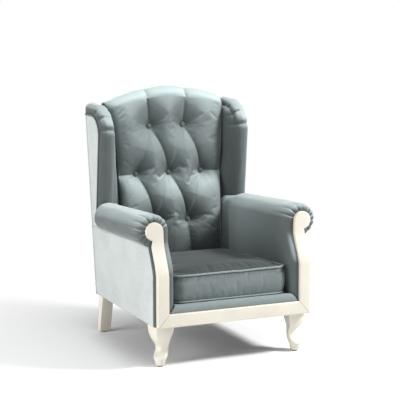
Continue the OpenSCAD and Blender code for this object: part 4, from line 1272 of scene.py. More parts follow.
@dataclass
class RolledArm:
    """One rolled arm: its padded inner wall, the roll with its lip pleated round the scroll, and its side panel."""

    finishes: Finishes
    side: Side
    wall_columns: int = 34
    roll_columns: int = 84
    rows: int = 92
    lip_rows: int = 13
    lip_in: float = 0.0290
    lip_forward: float = 0.013
    lip_back: float = 0.020
    lip_rise: float = 0.031
    pleats: int = 11
    pleat_d: float = 0.0052
    rear_round: float = 0.014
    welt_w: float = 0.0156

    def line_point(self, k: int) -> Spot:
        """One column of the arm's section.

        Args:
            k: the column, from the foot of the inner wall over the roll to the seam.

        Returns:
            The share up the wall (1 on the roll), and the direction out of the roll as x and z.
        """
        if k <= self.wall_columns:
            return k / self.wall_columns, -1.0, 0.0
        turn = mix(pi, -LINES.seam_angle, (k - self.wall_columns) / self.roll_columns)
        return 1.0, cos(turn), sin(turn)

    def place(self, k: int, y: float, inward: float = 0.0) -> tuple[float, float]:
        """The x and z of a column at y.

        Args:
            k: the column.
            y: the place along the arm.
            inward: how far inside the surface.

        Returns:
            The x and z.
        """
        share, ox, oz = self.line_point(k)
        ax, az = LINES.roll_axis(y)
        r = LINES.roll_radius(y) - inward
        if share < 1:
            return LINES.arm_x + inward, mix(LINES.trim_top_z + 0.001, az, share)
        return ax + r * ox, az + r * oz

    def pleat(self, k: int, depth: float) -> float:
        """How far the gathered cloth is drawn in at a column, for a share of the lip's fullness.

        Args:
            k: the column.
            depth: how strong the pleats are there, from 0 to 1.

        Returns:
            The depth in metres.
        """
        if k <= self.wall_columns:
            return 0.0
        share = (k - self.wall_columns) / self.roll_columns
        saw = (share * self.pleats + 0.16 * sin(9 * share + self.side.value)) % 1
        crease = exp(-saw / 0.16) * 0.9 + exp(-(1 - saw) / 0.07) * 0.8
        return self.pleat_d * depth * clamp(crease) * ease(share / 0.08)

    def inner_swell(self, k: int, y: float) -> float:
        """How far the stuffing swells the inner wall, and the wrinkles drawn from the facing.

        Args:
            k: the column.
            y: the place along the arm.

        Returns:
            How far the cloth stands out, in metres.
        """
        share = self.line_point(k)[0]
        along = LINES.roll_share(y)
        swell = 0.006 * sin(pi * clamp(along)) ** 0.7 * sin(pi * clamp(share)) if share < 1 else 0.0
        near = exp(-along / 0.17)
        height = k / (self.wall_columns + self.roll_columns)
        drag = wobble(y * 0.35, 7 * height + self.side.value, 0.3, 0.06) * 0.0022 * near
        fine = wobble(y * 0.5, 17 * height, 2.3 * self.side.value, 0.05) * 0.0013 * near * (1 if share < 1 else 0.7)
        broad = wobble(y, 1.2 * height, 4.0 + self.side.value, 0.12) * 0.0016
        return swell + drag + fine + broad

    def build(self) -> None:
        """Makes the arm's padding and its side panel."""
        columns = self.wall_columns + self.roll_columns
        grid: Grid = []
        folds: list[list[float]] = []
        for j in range(self.lip_rows + self.rows + 1):
            row, dark = [], []
            for k in range(columns + 1):
                share = self.line_point(k)[0]
                z_front = self.place(k, LINES.roll_front_y)[1]
                start = LINES.behind_facing_y(min(z_front, LINES.roll_z)) + self.lip_back
                end = LINES.wing_front_y(self.place(k, LINES.roll_back_y)[1]) - 0.001
                if j < self.lip_rows:
                    turn = pi / 2 * j / self.lip_rows
                    lip_in = self.lip_in + (0.002 if share == 1 else 0)
                    y = start - (self.lip_back + self.lip_forward) * cos(turn) ** 0.62
                    y += self.pleat(k, 1.2) * cos(turn) ** 0.5
                    inward = lip_in * (1 - sin(turn) ** 0.8) + self.pleat(k, 0.9) * sin(turn)
                    crease = self.pleat(k, 1.0) / self.pleat_d
                    x, z = self.place(k, start, inward)
                    if share < 1:
                        z_low = LINES.trim_top_z + 0.001 + self.lip_rise * clamp(1 - inward / lip_in)
                        z = mix(z_low, self.place(self.wall_columns, start)[1], share)
                else:
                    t = (j - self.lip_rows) / self.rows
                    y = mix(start, end, mix(t, t * t, 0.25))
                    fade = exp(-(y - start) / 0.045)
                    tuck = clamp((end - y) / self.rear_round)
                    inward = self.pleat(k, 0.9) * fade - self.inner_swell(k, y) * min(1, (y - start) / 0.02)
                    outer = 1 - self.carried(k)
                    inward += 0.009 * outer * (1 - soft_edge(tuck, 1))
                    crease = self.pleat(k, 1.0) / self.pleat_d * fade + 0.7 * outer * (1 - tuck) ** 2
                    x, z = self.place(k, y, inward)
                    if share < 1:
                        z_low = LINES.trim_top_z + 0.001 + self.lip_rise * fade
                        z = mix(z_low, self.place(self.wall_columns, y)[1], share)
                row.append((self.side.value * x, y, z))
                # Painted shade in the pleats and where the lip tucks in behind the facing.
                dark.append(clamp(crease * 0.75 + (0.5 * (1 - j / 3) if j < 3 else 0)))
            grid.append(row)
            folds.append(dark)
        self.add_corner(grid, folds)
        obj = shell(f"arm_padding_{self.side.word}", grid, flip=self.side is Side.LEFT, folds=folds)
        apply_modifier(obj, "SUBSURF", levels=1, render_levels=1)
        cap_rim(obj)
        # Painted light on the roll's up-facing top and on the rear of the inner wall.
        lay_nap(obj, lambda place, normal: 0.9 * clamp((normal.z - 0.15) / 0.6)
                + 0.5 * clamp(-self.side.value * normal.x) * clamp((place.y + 0.25) / 0.35))
        hand_over(obj, self.finishes.velvet, f"arm_pad_{self.side.word}", fill=0.8)
        self.side_panel()
        self.seam_welt()

    def carried(self, k: int) -> float:
        """How far a column is carried on to the back: 1 on the wall, fading to 0 over the top of the roll."""
        return ease(-1.5 * self.line_point(k)[1])

    def add_corner(self, grid: Grid, folds: list[list[float]]) -> None:
        """Carries the inner wall and the roll's inner half on behind the wing's foot, drawn in to meet the back.

        Args:
            grid: the rows of points, which grow.
            folds: the painted shade of each point, which grow with them.
        """
        last = list(grid[-1])
        steps = 14
        ax, az = LINES.roll_axis(LINES.roll_back_y)
        for i in range(1, steps + 2):
            row, dark = [], []
            t = min(1.0, i / steps)
            for k, (x, y, z) in enumerate(last):
                share = self.carried(k)
                rear_y = LINES.back_y(min(z, az), LINES.pad_back_n - 0.004)
                drawn = (LINES.arm_x - LINES.back_w(min(z, az)) - 0.0005) * ease(t / 0.42)
                near = (abs(x) - drawn, mix(y, rear_y, t), z)
                if i > steps:
                    near = (LINES.arm_x + 0.035, rear_y + 0.001, z)
                close = 0.94 * t
                end = (mix(abs(x), ax - 0.030, close), y + 0.0012 * t, mix(z, az - 0.022, close))
                place = [mix(a, b, share) for a, b in zip(end, near)]
                row.append((self.side.value * place[0], place[1], place[2]))
                # Painted shade deepening into the corner behind the wing's foot.
                dark.append(0.1 + 0.7 * t**2)
            grid.append(row)
            folds.append(dark)

    def side_panel(self) -> None:
        """Makes the taut outer panel below the roll, thinly padded with soft edges."""
        def front(z: float) -> float:
            """The y behind the facing's welt at height z."""
            return LINES.behind_facing_y(z) + self.welt_w - LINES.gap

        def place(u: float, v: float) -> tuple[float, float]:
            """Gives a place of the panel.

            Args:
                u: the share back from the facing.
                v: the share up from the body's lower edge.

            Returns:
                The y and z.
            """
            low = LINES.body_z
            y = mix(front(low), LINES.back_y(low, LINES.post_rear_n), u)
            z = low
            for _ in range(4):
                z = mix(low, LINES.seam_z(y) + 0.002, v)
                y = mix(front(z), LINES.back_y(z, LINES.post_rear_n), u)
            return y, z

        obj = padded_panel(f"outer_arm_{self.side.word}", self.side, place, 96, 52)
        hand_over(obj, self.finishes.panel_velvet, f"outer_arm_panel_{self.side.word}", fill=0.9)

    def seam_welt(self) -> None:
        """Adds the narrow folded strip of cloth along the rear edge of the facing, beside the side panel."""
        points = []
        for i in range(60):
            z = mix(LINES.body_z + 0.002, LINES.seam_z(LINES.roll_front_y) + 0.004, i / 59)
            points.append((self.side.value * (LINES.panel_x + 0.0012 - self.welt_w / 2),
                           LINES.behind_facing_y(z) + self.welt_w / 2 + 0.0003, z))
        obj = tube(f"facing_welt_{self.side.word}", points, lambda t: self.welt_w / 2, 12, out=(1, 0, 0))
        for v in obj.data.vertices:
            v.co.x += 0.0004 * wobble(v.co.x, v.co.y, v.co.z, 0.02)
        # An even painted shade along the welt, which sits in the seam.
        set_shade(obj, "fold", 0.2)
        hand_over(obj, self.finishes.velvet)


def padded_panel(name: str, side: Side, place: Callable[[float, float], tuple[float, float]], columns: int,
                 rows: int) -> Piece:
    """Makes a thin padded panel on one side of the chair, with edges that curve in to the frame.

    Args:
        name: the piece's name.
        side: the side of the chair.
        place: gives y and z by the shares across and up.
        columns: cells across.
        rows: cells up.

    Returns:
        The closed panel.
    """
    us = edge_spaced(columns)
    vs = edge_spaced(rows)
    spots = [[place(u, v) for u in us] for v in vs]
    grid, inner, folds = [], [], []
    for j, v in enumerate(vs):
        row, back = [], []
        for i, u in enumerate(us):
            y, z = spots[j][i]
            near = min(dist(spots[j][0], (y, z)), dist(spots[j][-1], (y, z)),
                       dist(spots[0][i], (y, z)), dist(spots[-1][i], (y, z)))
            soft = soft_edge(near, 0.009)
            ripple = 0.0006 * wobble(y, z, side.value, 0.11) + 0.00035 * wobble(y * 3, z, side.value + 3, 0.05)
            out = LINES.outer_x + LINES.gap + LINES.panel_t * mix(0.25, 1, soft) + ripple * soft
            row.append((side.value * out, y, z))
            back.append((side.value * (LINES.outer_x + LINES.gap), y, z))
            # Painted shade where the edges curve in to the frame.
            folds.append(clamp(0.55 * (1 - soft)))
        grid.append(row)
        inner.append(back)
    obj = shell(name, grid, inner, flip=side is Side.RIGHT, folds=[folds])
    face_outwards(obj)
    return obj


def edge_spaced(count: int) -> list[float]:
    """Shares from 0 to 1 that lie closer together near both ends."""
    return [0.5 - 0.5 * copysign(abs(cos(pi * i / count)) ** 0.62, cos(pi * i / count))
            for i in range(count + 1)]


@dataclass
class Wing:
    """One wing: a padded inner face, a front roll with pleats at its bend, piping in its seam, and an outer panel."""

    finishes: Finishes
    side: Side
    low_rows: int = 74
    bend_rows: int = 34
    top_rows: int = 40
    face_columns: int = 26
    roll_columns: int = 34
    edge_columns: int = 4
    pleat_turns: tuple[float, ...] = (0.16, 0.47, 0.78)
    pleat_d: float = 0.0074
    foot_tuck: float = 0.010

    @property
    def axis_x(self) -> float:
        """The x of the front roll's axis."""
        return LINES.panel_x - LINES.wing_r

    def path(self) -> list[tuple[float, float, float, float, float]]:
        """The roll's axis from foot to rear: y, z, outward y, outward z, and the share round the bend.

        Returns:
            These five numbers for each point.
        """
        r, full_z = LINES.wing_r, LINES.wing_full_z
        bend = LINES.wing_top_z - r - full_z
        foot = LINES.wing_foot_z + LINES.gap
        line = []
        for j in range(self.low_rows):
            t = j / self.low_rows
            z = mix(foot, full_z, t)
            line.append((r + LINES.wing_front_y(z), z, -1.0, 0.0, 0.0))
        centre = r + LINES.wing_front_y(full_z) + bend
        for j in range(self.bend_rows + 1):
            a = mix(pi, pi / 2, j / self.bend_rows)
            c, t = cos(a), sin(a)
            line.append((centre + bend * c, full_z + bend * t, c, t, j / self.bend_rows))
        top_z = LINES.wing_top_z - r
        end = LINES.back_y(top_z, LINES.post_rear_n)
        for j in range(1, self.top_rows + 1):
            line.append((mix(centre, end, j / self.top_rows), top_z, 0.0, 1.0, 1.0 + j / self.top_rows))
        return line

    def rear(self, z: float, bend: float) -> Spot:
        """The corner where the wing meets the back, beside one point of the path.

        Args:
            z: the height of the point.
            bend: its share round the bend.

        Returns:
            The place of the corner.
        """
        high = LINES.wing_top_z - 0.034
        if bend > 0:
            z = mix(LINES.wing_full_z, high, min(1, bend))
        n = LINES.pad_back_n - 0.004
        if bend > 1:
            n = mix(n, LINES.post_rear_n, bend - 1)
            z = mix(high, high + 0.012, bend - 1)
        return LINES.back_w(z) + 0.001 - 0.011 * clamp((bend - 0.3) / 0.6), LINES.back_y(z, n), z

    def pleat(self, bend: float, turn: float) -> float:
        """How far a pleat at the bend is drawn in, by the share round the bend and the turn round the roll.

        Args:
            bend: the share round the bend.
            turn: the share round the roll.

        Returns:
            The depth in metres.
        """
        total = 0.0
        for i, at in enumerate(self.pleat_turns):
            off = bend - at - 0.05 * (turn - 0.5)
            total += exp(-max(off, 0) / 0.028) * exp(-max(-off, 0) / 0.075) * (1 - 0.15 * i)
        return self.pleat_d * total * sin(pi * clamp(turn)) ** 0.6

    def build(self) -> None:
        """Makes the wing's padding, its piping and its outer panel."""
        grid: Grid = []
        folds: list[list[float]] = []
        path = self.path()
        first = (path[0][0], path[0][1])
        r = LINES.wing_r
        # Each point also gets painted shade: in the corner against the back, in the pleats at the bend, at the foot
        # and along the seam to the outer panel.
        for j, (y, z, oy, oz, bend) in enumerate(path):
            row, dark = [], []
            rear = self.rear(z, bend)
            start = (self.axis_x - r, y, z)
            for k in range(self.face_columns):
                t = k / self.face_columns
                p = [mix(a, b, t) for a, b in zip(rear, start)]
                swell = sin(pi * t) ** 0.7 * sin(pi * clamp((z - 0.47) / 0.53)) ** 0.4
                p[0] -= 0.012 * swell + 0.0016 * wobble(p[1], p[2], 2.0 * self.side.value, 0.07) * swell ** 0.5
                tuck = self.pleat(bend, 0.35) * clamp((t - 0.45) / 0.55)
                p[0] += 0.55 * tuck
                row.append((self.side.value * p[0], p[1], p[2]))
                dark.append(clamp(0.75 * (1 - t / 0.10) + 90 * tuck * t * t))
            for k in range(self.roll_columns + 1):
                turn = k / self.roll_columns
                a = pi * (1 - turn)
                drawn = self.pleat(bend, mix(0.3, 0.8, turn))
                soft = 0.0012 * wobble(4 * turn, y * 6, z * 6 + self.side.value, 0.6)
                foot = clamp((0.02 - dist(first, (y, z))) / 0.02)
                rr = r - drawn + soft - 0.006 * foot**2
                tip = rr * sin(a)
                row.append((self.side.value * (self.axis_x + rr * cos(a)), y + oy * tip, z + oz * tip))
                dark.append(clamp(drawn * 95 - 0.12) + 0.4 * foot)
            for k in range(1, self.edge_columns + 1):
                t = k / self.edge_columns
                back = -LINES.wing_seam_in * t
                row.append((self.side.value * (LINES.panel_x - 0.003 * t * t), y + oy * back, z + oz * back))
                dark.append(0.35 + 0.45 * t)
            grid.append(row)
            folds.append(dark)
        self.close_foot(grid, folds)
        obj = shell(f"wing_padding_{self.side.word}", grid, flip=self.side is Side.RIGHT, folds=folds)
        apply_modifier(obj, "SUBSURF", levels=1, render_levels=1)
        cap_rim(obj)
        # Painted light on up-facing surfaces, on faces turned to +X and over the top of the roll; painted shade on
        # faces turned to -X.
        lay_nap(obj, lambda place, normal: clamp((normal.z - 0.15) / 0.5) - 0.4 * clamp(-normal.x)
                + 0.25 * clamp(normal.x) + 0.6 * clamp((place.z - 0.90) / 0.05) * clamp(normal.x + normal.z))
        hand_over(obj, self.finishes.velvet, f"wing_pad_{self.side.word}", fill=0.8)
        self.piping(path)
        self.outer_panel(path)

    def close_foot(self, grid: Grid, folds: list[list[float]]) -> None:
        """Draws the cloth in under the wing's foot, where it rests on the arm.

        Args:
            grid: the rows of points, which grow at their start.
            folds: the painted shade of each point, which grow with them.
        """
        foot = [(x, y, z - self.foot_tuck) for x, y, z in grid[0]]
        middle = [sum(p[axis] for p in foot) / len(foot) for axis in range(3)]
        for share in (0.0, 0.5, 0.93):
            grid.insert(0, [tuple(mix(a, b, share) for a, b in zip(p, middle)) for p in foot])
            # Painted shade under the foot.
            folds.insert(0, [0.5] * len(foot))

    def piping(self, path: Sequence[tuple[float, float, float, float, float]]) -> None:
        """Lays the piping in the seam between the roll and the outer panel.

        Args:
            path: the roll's axis.
        """
        x = self.side.value * (LINES.panel_x + 0.0006)
        points = [(x, y - oy * LINES.wing_seam_in, z - oz * LINES.wing_seam_in) for y, z, oy, oz, _ in path]
        r = LINES.piping_r
        obj = tube(f"wing_welt_{self.side.word}", points, lambda t: r * (1 + 0.035 * sin(310 * t)), 12,
                   out=(1, 0, 0))
        # Painted shade on the side of the piping that lies in the seam.
        set_shade(obj, "fold", [clamp(0.55 * (1 - (abs(v.co.x) - abs(x) + r) / r)) for v in obj.data.vertices])
        hand_over(obj, self.finishes.velvet, f"wing_piping_{self.side.word}")

    def outer_panel(self, path: Sequence[tuple[float, float, float, float, float]]) -> None:
        """Makes the taut panel on the outer side of the wing.

        Args:
            path: the roll's axis.
        """
        inset = LINES.wing_seam_in + 0.002
        bend_end = self.low_rows + self.bend_rows
        line = [(y - oy * inset, z - oz * inset) for y, z, oy, oz, _ in path[: bend_end + 1]]
        foot_z = LINES.seam_z(LINES.roll_back_y) + 0.001
        line = [(LINES.roll_back_y + 0.001, mix(foot_z, line[0][1], i / 4)) for i in range(4)] + line
        lengths = [0.0]
        for a, b in zip(line, line[1:]):
            lengths.append(lengths[-1] + dist(a, b))

        def place(u: float, v: float) -> tuple[float, float]:
            """Gives a place of the panel.

            Args:
                u: the share back from the roll's seam.
                v: the share along the seam, from its foot.

            Returns:
                The y and z.
            """
            want = v * lengths[-1]
            i = min(max(np.searchsorted(lengths, want) - 1, 0), len(line) - 2)
            t = (want - lengths[i]) / max(lengths[i + 1] - lengths[i], 1e-9)
            y, z = mix(line[i][0], line[i + 1][0], t), mix(line[i][1], line[i + 1][1], t)
            rear_z = mix(foot_z, LINES.wing_top_z - LINES.wing_r - inset, v)
            return mix(y, LINES.back_y(rear_z, LINES.post_rear_n), u), mix(z, rear_z, u)

        obj = padded_panel(f"outer_wing_{self.side.word}", self.side, place, 44, 84)
        hand_over(obj, self.finishes.panel_velvet, f"wing_outer_panel_{self.side.word}", fill=0.9)


@dataclass
class OuterBack:
    """The flat, thinly padded panel that closes the back."""

    finishes: Finishes
    columns: int = 110
    rows: int = 130
    welt_r: float = 0.0032

    def top(self, x: float) -> float:
        """How far up the back the panel reaches at x.

        Args:
            x: the place across.

        Returns:
            The distance up the back.
        """
        axis_x, axis_s = LINES.panel_x - LINES.wing_r, LINES.up(LINES.wing_top_z - LINES.wing_r)
        r = LINES.wing_r - LINES.gap
        if abs(x) <= LINES.back_half_w:
            return LINES.arch_s(x) - LINES.crest_pad_t / 2
        if abs(x) < axis_x:
            t = (abs(x) - LINES.back_half_w) / (axis_x - LINES.back_half_w)
            return mix(LINES.arch_s(LINES.back_half_w) - LINES.crest_pad_t / 2, axis_s + r, t)
        return axis_s + sqrt(max(r * r - (abs(x) - axis_x) ** 2, 0.0))

    def build(self) -> None:
        """Makes the panel and the welt round its edge."""
        us = [2 * u - 1 for u in edge_spaced(self.columns)]
        vs = edge_spaced(self.rows)
        low = LINES.up(LINES.body_z)
        half = LINES.panel_x - 0.0004
        grid, inner, folds = [], [], []
        for v in vs:
            row, back = [], []
            for u in us:
                x = u * half
                top = self.top(x)
                s = mix(low, top, v)
                near = min(half - abs(x), s - low, (top - s) * 0.95)
                soft = soft_edge(near, 0.010)
                ripple = 0.0009 * wobble(x, s, 5, 0.16) + 0.0004 * wobble(x * 2, s, 8, 0.05)
                n = mix(LINES.post_rear_n + 0.001, 0.0, soft) + ripple * soft
                row.append(LINES.on_back(x, n, s))
                back.append(LINES.on_back(x, LINES.post_rear_n + 0.0003, s))
                # Painted shade where the edges curve in to the frame.
                folds.append(clamp(0.55 * (1 - soft)))
            grid.append(row)
            inner.append(back)
        obj = shell("outer_back", grid, inner, folds=[folds])
        face_outwards(obj)
        hand_over(obj, self.finishes.panel_velvet, "outer_back_panel", fill=0.9)
        self.welt()

    def welt(self) -> None:
        """Lays a fine welt in the seam round the panel."""
        half = LINES.panel_x - 0.002
        xs = [half * sin(pi / 2 * i / 60) for i in range(-60, 61)]
        low = LINES.up(LINES.body_z) + 0.003
        side_s = [mix(low, self.top(half * 0.9999) - 0.004, i / 70) for i in range(71)]
        points = [LINES.on_back(-half, LINES.post_rear_n + 0.003, s) for s in side_s]
        points += [LINES.on_back(x, LINES.post_rear_n + 0.003, self.top(x) - 0.0015) for x in xs[1:-1]]
        points += [LINES.on_back(half, LINES.post_rear_n + 0.003, s) for s in reversed(side_s)]
        obj = tube("outer_back_welt", points, lambda t: self.welt_r * (1 + 0.03 * sin(500 * t)), 10,
                   out=(0, 1, 0.14))
        # An even painted shade along the welt in its seam.
        set_shade(obj, "fold", 0.25)
        hand_over(obj, self.finishes.panel_velvet)


@dataclass
class SeatCushion:
    """The loose seat cushion: crowned top, drawn-in border, self piping round both edges and a zip behind."""

    finishes: Finishes
    width: float = 0.496
    depth: float = 0.5444
    height: float = 0.112
    crown: float = 0.026
    corner: float = 0.042
    bulge: float = 0.011
    base_z: float = 0.0012
    cells: int = 76
    border_rows: int = 15
    plan_power: int = 9

    def outline(self, a: float, b: float) -> tuple[float, float]:
        """A place of the cushion's plan, from shares of -1 to 1 across and deep, with rounded corners.

        Args:
            a: the share across.
            b: the share deep.

        Returns:
            The x and y.
        """
        half_w, half_d, r = self.width / 2, self.depth / 2, self.corner
        x, y = a * half_w, b * half_d
        cx, cy = abs(x) - (half_w - r), abs(y) - (half_d - r)
        if cx > 0 and cy > 0:
            p, q = cx / r, cy / r
            x = copysign(half_w - r + r * p * sqrt(1 - q * q / 2), x)
            y = copysign(half_d - r + r * q * sqrt(1 - p * p / 2), y)
        return x, y + half_d

    def outwards(self, x: float, y: float) -> tuple[float, float]:
        """The way out of the cushion at a place of its plan.

        Args:
            x: the place across.
            y: the place back from the front.

        Returns:
            The x and y of the way out, one long.
        """
        nx, ny = x / (self.width / 2), y / (self.depth / 2) - 1
        ox, oy = (copysign(abs(n) ** self.plan_power, n) for n in (nx, ny))
        length = hypot(ox, oy) or 1
        return ox / length, oy / length

    def rim_shares(self) -> list[tuple[float, float]]:
        """The shares of the rim's points, anticlockwise from the front left of the plan.

        Returns:
            The shares across and deep of each point.
        """
        n = self.cells
        line = [-1 + 2 * i / n for i in range(n)]
        return ([(t, -1.0) for t in line] + [(1.0, t) for t in line]
                + [(-t, 1.0) for t in line] + [(-1.0, -t) for t in line])

    def build(self) -> None:
        """Makes the cushion's body and piping."""
        n = self.cells
        points, held, folds = [], [], []

        def add(x: float, y: float, z: float, hold: float, dark: float) -> int:
            """Adds one point of the cushion.

            Args:
                x: its place across.
                y: its place back from the front.
                z: its height above the deck.
                hold: how firmly it is held.
                dark: its painted shade.

            Returns:
                The point's number.
            """
            points.append(LINES.seat_place(x, y, z))
            held.append(hold)
            folds.append(dark)
            return len(points) - 1

        # The last number given to add is the painted shade: deep along the seams and underneath, none over the open
        # top.
        plan = [(-1 + 2 * i / n, -1 + 2 * j / n) for j in range(n + 1) for i in range(n + 1)]
        top_ids = []
        for a, b in plan:
            x, y = self.outline(a, b)
            share = max(abs(a), abs(b))
            if share >= 1:
                top_ids.append(add(x, y, self.height, 1.0, 0.6))
                continue
            soft = 1 - min(1.0, (a * a + b * b) / 2 + 0.5 * share**6)
            dome = (1 - a**6) * (1 - b**6)
            lift = self.crown * (0.42 * dome**0.55 + 0.58 * soft**0.6)
            top_ids.append(add(x, y, self.height + lift + 0.0035 * wobble(x, y, 1.0, 0.16) * dome, 0.02, 0))
        low_ids = [add(*self.outline(a, b), self.base_z, 1.0, 0.6) for a, b in plan]
        faces = []
        for quad in grid_faces(n + 1, n + 1):
            faces.append([top_ids[i] for i in quad])
            faces.append([low_ids[i] for i in reversed(quad)])
        rim = self.rim_shares()

        def index(a: float, b: float) -> int:
            """The number of the rim's point at the shares a and b of the plan."""
            return round((b + 1) / 2 * n) * (n + 1) + round((a + 1) / 2 * n)

        rings = [[low_ids[index(a, b)] for a, b in rim]]
        for j in range(1, self.border_rows):
            rise = j / self.border_rows
            ring = []
            for a, b in rim:
                x, y = self.outline(a, b)
                ox, oy = self.outwards(x, y)
                out = self.bulge * sin(pi * rise) ** 0.7 - 0.002
                out *= 1.0 + 0.25 * wobble(x * 2, y * 2, rise, 0.3)
                # The border gets painted shade near its seams, top and bottom.
                ring.append(add(x + ox * out, y + oy * (min(out, 0.004) if oy > 0.5 else out), self.height * rise,
                                0.04, clamp(0.8 * (1 - min(rise, 1 - rise) / 0.12))))
            rings.append(ring)
        rings.append([top_ids[index(a, b)] for a, b in rim])
        sides = [i for ring in rings for i in ring]
        faces += [[sides[i] for i in quad] for quad in grid_faces(len(rings), len(rim), closed=True)]
        obj = new_piece("seat_cushion_cover", points, faces)
        set_shade(obj, "fold", folds)
        settle_cloth(obj, held, cap=0.006, pressure=3.0, slack=0.02, frames=18, bend=0.6)
        apply_modifier(obj, "SUBSURF", levels=1, render_levels=1)
        set_shade(obj, "crown", [clamp((v.co.z - 0.345) / 0.03) for v in obj.data.vertices])
        # Painted shade on the cushion's up-facing top.
        lay_nap(obj, lambda place, normal: -0.85 * clamp((normal.z - 0.3) / 0.4))
        hand_over(obj, self.finishes.seat_velvet, "seat_cushion", body=CUSHION, fill=0.85)
        self.piping("cushion_welt_top", self.height, 2.0, rim, "cushion_piping")
        self.piping("cushion_welt_low", LINES.piping_r + 0.0005, 0.3, rim)

    def piping(self, name: str, z: float, uneven: float, rim: Sequence[tuple[float, float]], *nodes: str) -> None:
        """Lays one round of piping along the cushion's edge.

        Args:
            name: the piece's name.
            z: its height above the deck.
            uneven: how much it rises and falls.
            rim: the shares of the rim's points.
            nodes: the carried-over nodes that it replaces.
        """
        points = []
        for a, b in rim:
            x, y = self.outline(a, b)
            ox, oy = self.outwards(x, y)
            grow = LINES.piping_r * 0.9
            wave = 0.0011 * wobble(x, y, z * 9, 0.09) + 0.0005 * wobble(x, y, z * 9 + 4, 0.03)
            points.append(LINES.seat_place(x + ox * grow, y + oy * grow, z + wave * uneven))
        obj = tube(name, points, lambda t: LINES.piping_r * (1 + 0.045 * sin(420 * t) * sin(37 * t)), 12,
                   closed=True)
        # A faint even painted shade and a strong even painted highlight along the piping.
        set_shade(obj, "fold", 0.12)
        lay_nap(obj, lambda place, normal: 0.6)
        hand_over(obj, self.finishes.velvet, *nodes, body=CUSHION)


@dataclass
class SeatBase:
    """What lies under the cushion: the cloth-covered deck, and the padded front border with mitred ends."""

    finishes: Finishes
    border_setback: float = 0.008
    border_d: float = 0.024
    deck_t: float = 0.022
    deck_rows: int = 48
    deck_columns: int = 56
    border_low_half: float = 0.2905
    border_nose: float = 0.013
    border_cells: int = 120

    def seat_z(self, y: float) -> float:
        """The height of the deck's slope at y."""
        return LINES.deck_z - (y - LINES.seat_y) * tan(LINES.seat_fall)

    def build(self) -> None:
        """Makes the deck and the border."""
        start = LINES.front_y + self.border_setback + self.border_d
        end = LINES.back_y(self.seat_z(0), LINES.pad_back_n)
        half = LINES.arm_x - 0.0006
        grid, inner = [], []
        for j in range(self.deck_rows + 1):
            y = mix(start, end, j / self.deck_rows)
            row, low = [], []
            for i in range(self.deck_columns + 1):
                x = mix(-half, half, i / self.deck_columns)
                edge = min(j, self.deck_rows - j, i, self.deck_columns - i) / 3
                sag = 0.0008 * wobble(x, y, 3.0, 0.1) - (0.0025 * (1 - min(edge, 1)) ** 2)
                row.append((x, y, self.seat_z(y) - 0.0006 + sag))
                low.append((x, y, self.seat_z(y) - self.deck_t))
            grid.append(row)
            inner.append(low)
        deck = shell("deck_cover", grid, inner)
        face_outwards(deck)
        # An even faint painted shade on the deck.
        set_shade(deck, "fold", 0.1)
        self.dress(deck, "seat_deck")
        self.border()

    def border(self) -> None:
        """Makes the padded strip behind the painted front rail, its ends cut to a mitre."""
        front = LINES.front_y + self.border_setback
        low_z, top_z = LINES.trim_top_z + 0.0006, self.seat_z(front) - 0.0006
        nose = self.border_nose
        profile = [(front - 0.0016 * sin(pi * i / 14), mix(low_z, top_z - nose, i / 10)) for i in range(11)]
        profile += [(front + nose * (1 - cos(a)), top_z - nose * (1 - sin(a)))
                    for a in (pi / 2 * i / 12 for i in range(1, 13))]
        profile += [(mix(front + nose, front + self.border_d, i / 4), top_z - 0.001 * i / 4) for i in range(1, 5)]
        grid, folds = [], []
        for j in range(self.border_cells + 1):
            u = -1 + 2 * j / self.border_cells
            row, dark = [], []
            for y, z in profile:
                rise = clamp((z - low_z) / (top_z - low_z))
                half = mix(self.border_low_half, LINES.arm_x + 0.0005, rise)
                x = u * half
                near = (1 - abs(u)) * half
                roll = 0.003 * (1 - soft_edge(near, 0.004))
                ripple = 0.0007 * wobble(x, z, 1.5, 0.05) + 0.0006 * wobble(x * 2.2, z * 0.6, 4, 0.03)
                row.append((x, y + roll - ripple, z))
                # Painted shade at the mitred ends and along the foot against the rail.
                dark.append(clamp(0.8 * (1 - near / 0.005) + 0.5 * (1 - rise / 0.12)))
            grid.append(row)
            folds.append(dark)
        obj = shell("front_border_cover", grid, folds=folds)
        cap_rim(obj)
        self.dress(obj, "front_border")

    def dress(self, obj: Piece, node: str) -> None:
        """Finishes one piece of the base with an even painted light, and lets it stand for its node."""
        # An even painted light over the whole piece.
        lay_nap(obj, lambda place, normal: 0.45)
        hand_over(obj, self.finishes.velvet, node, fill=0.8)


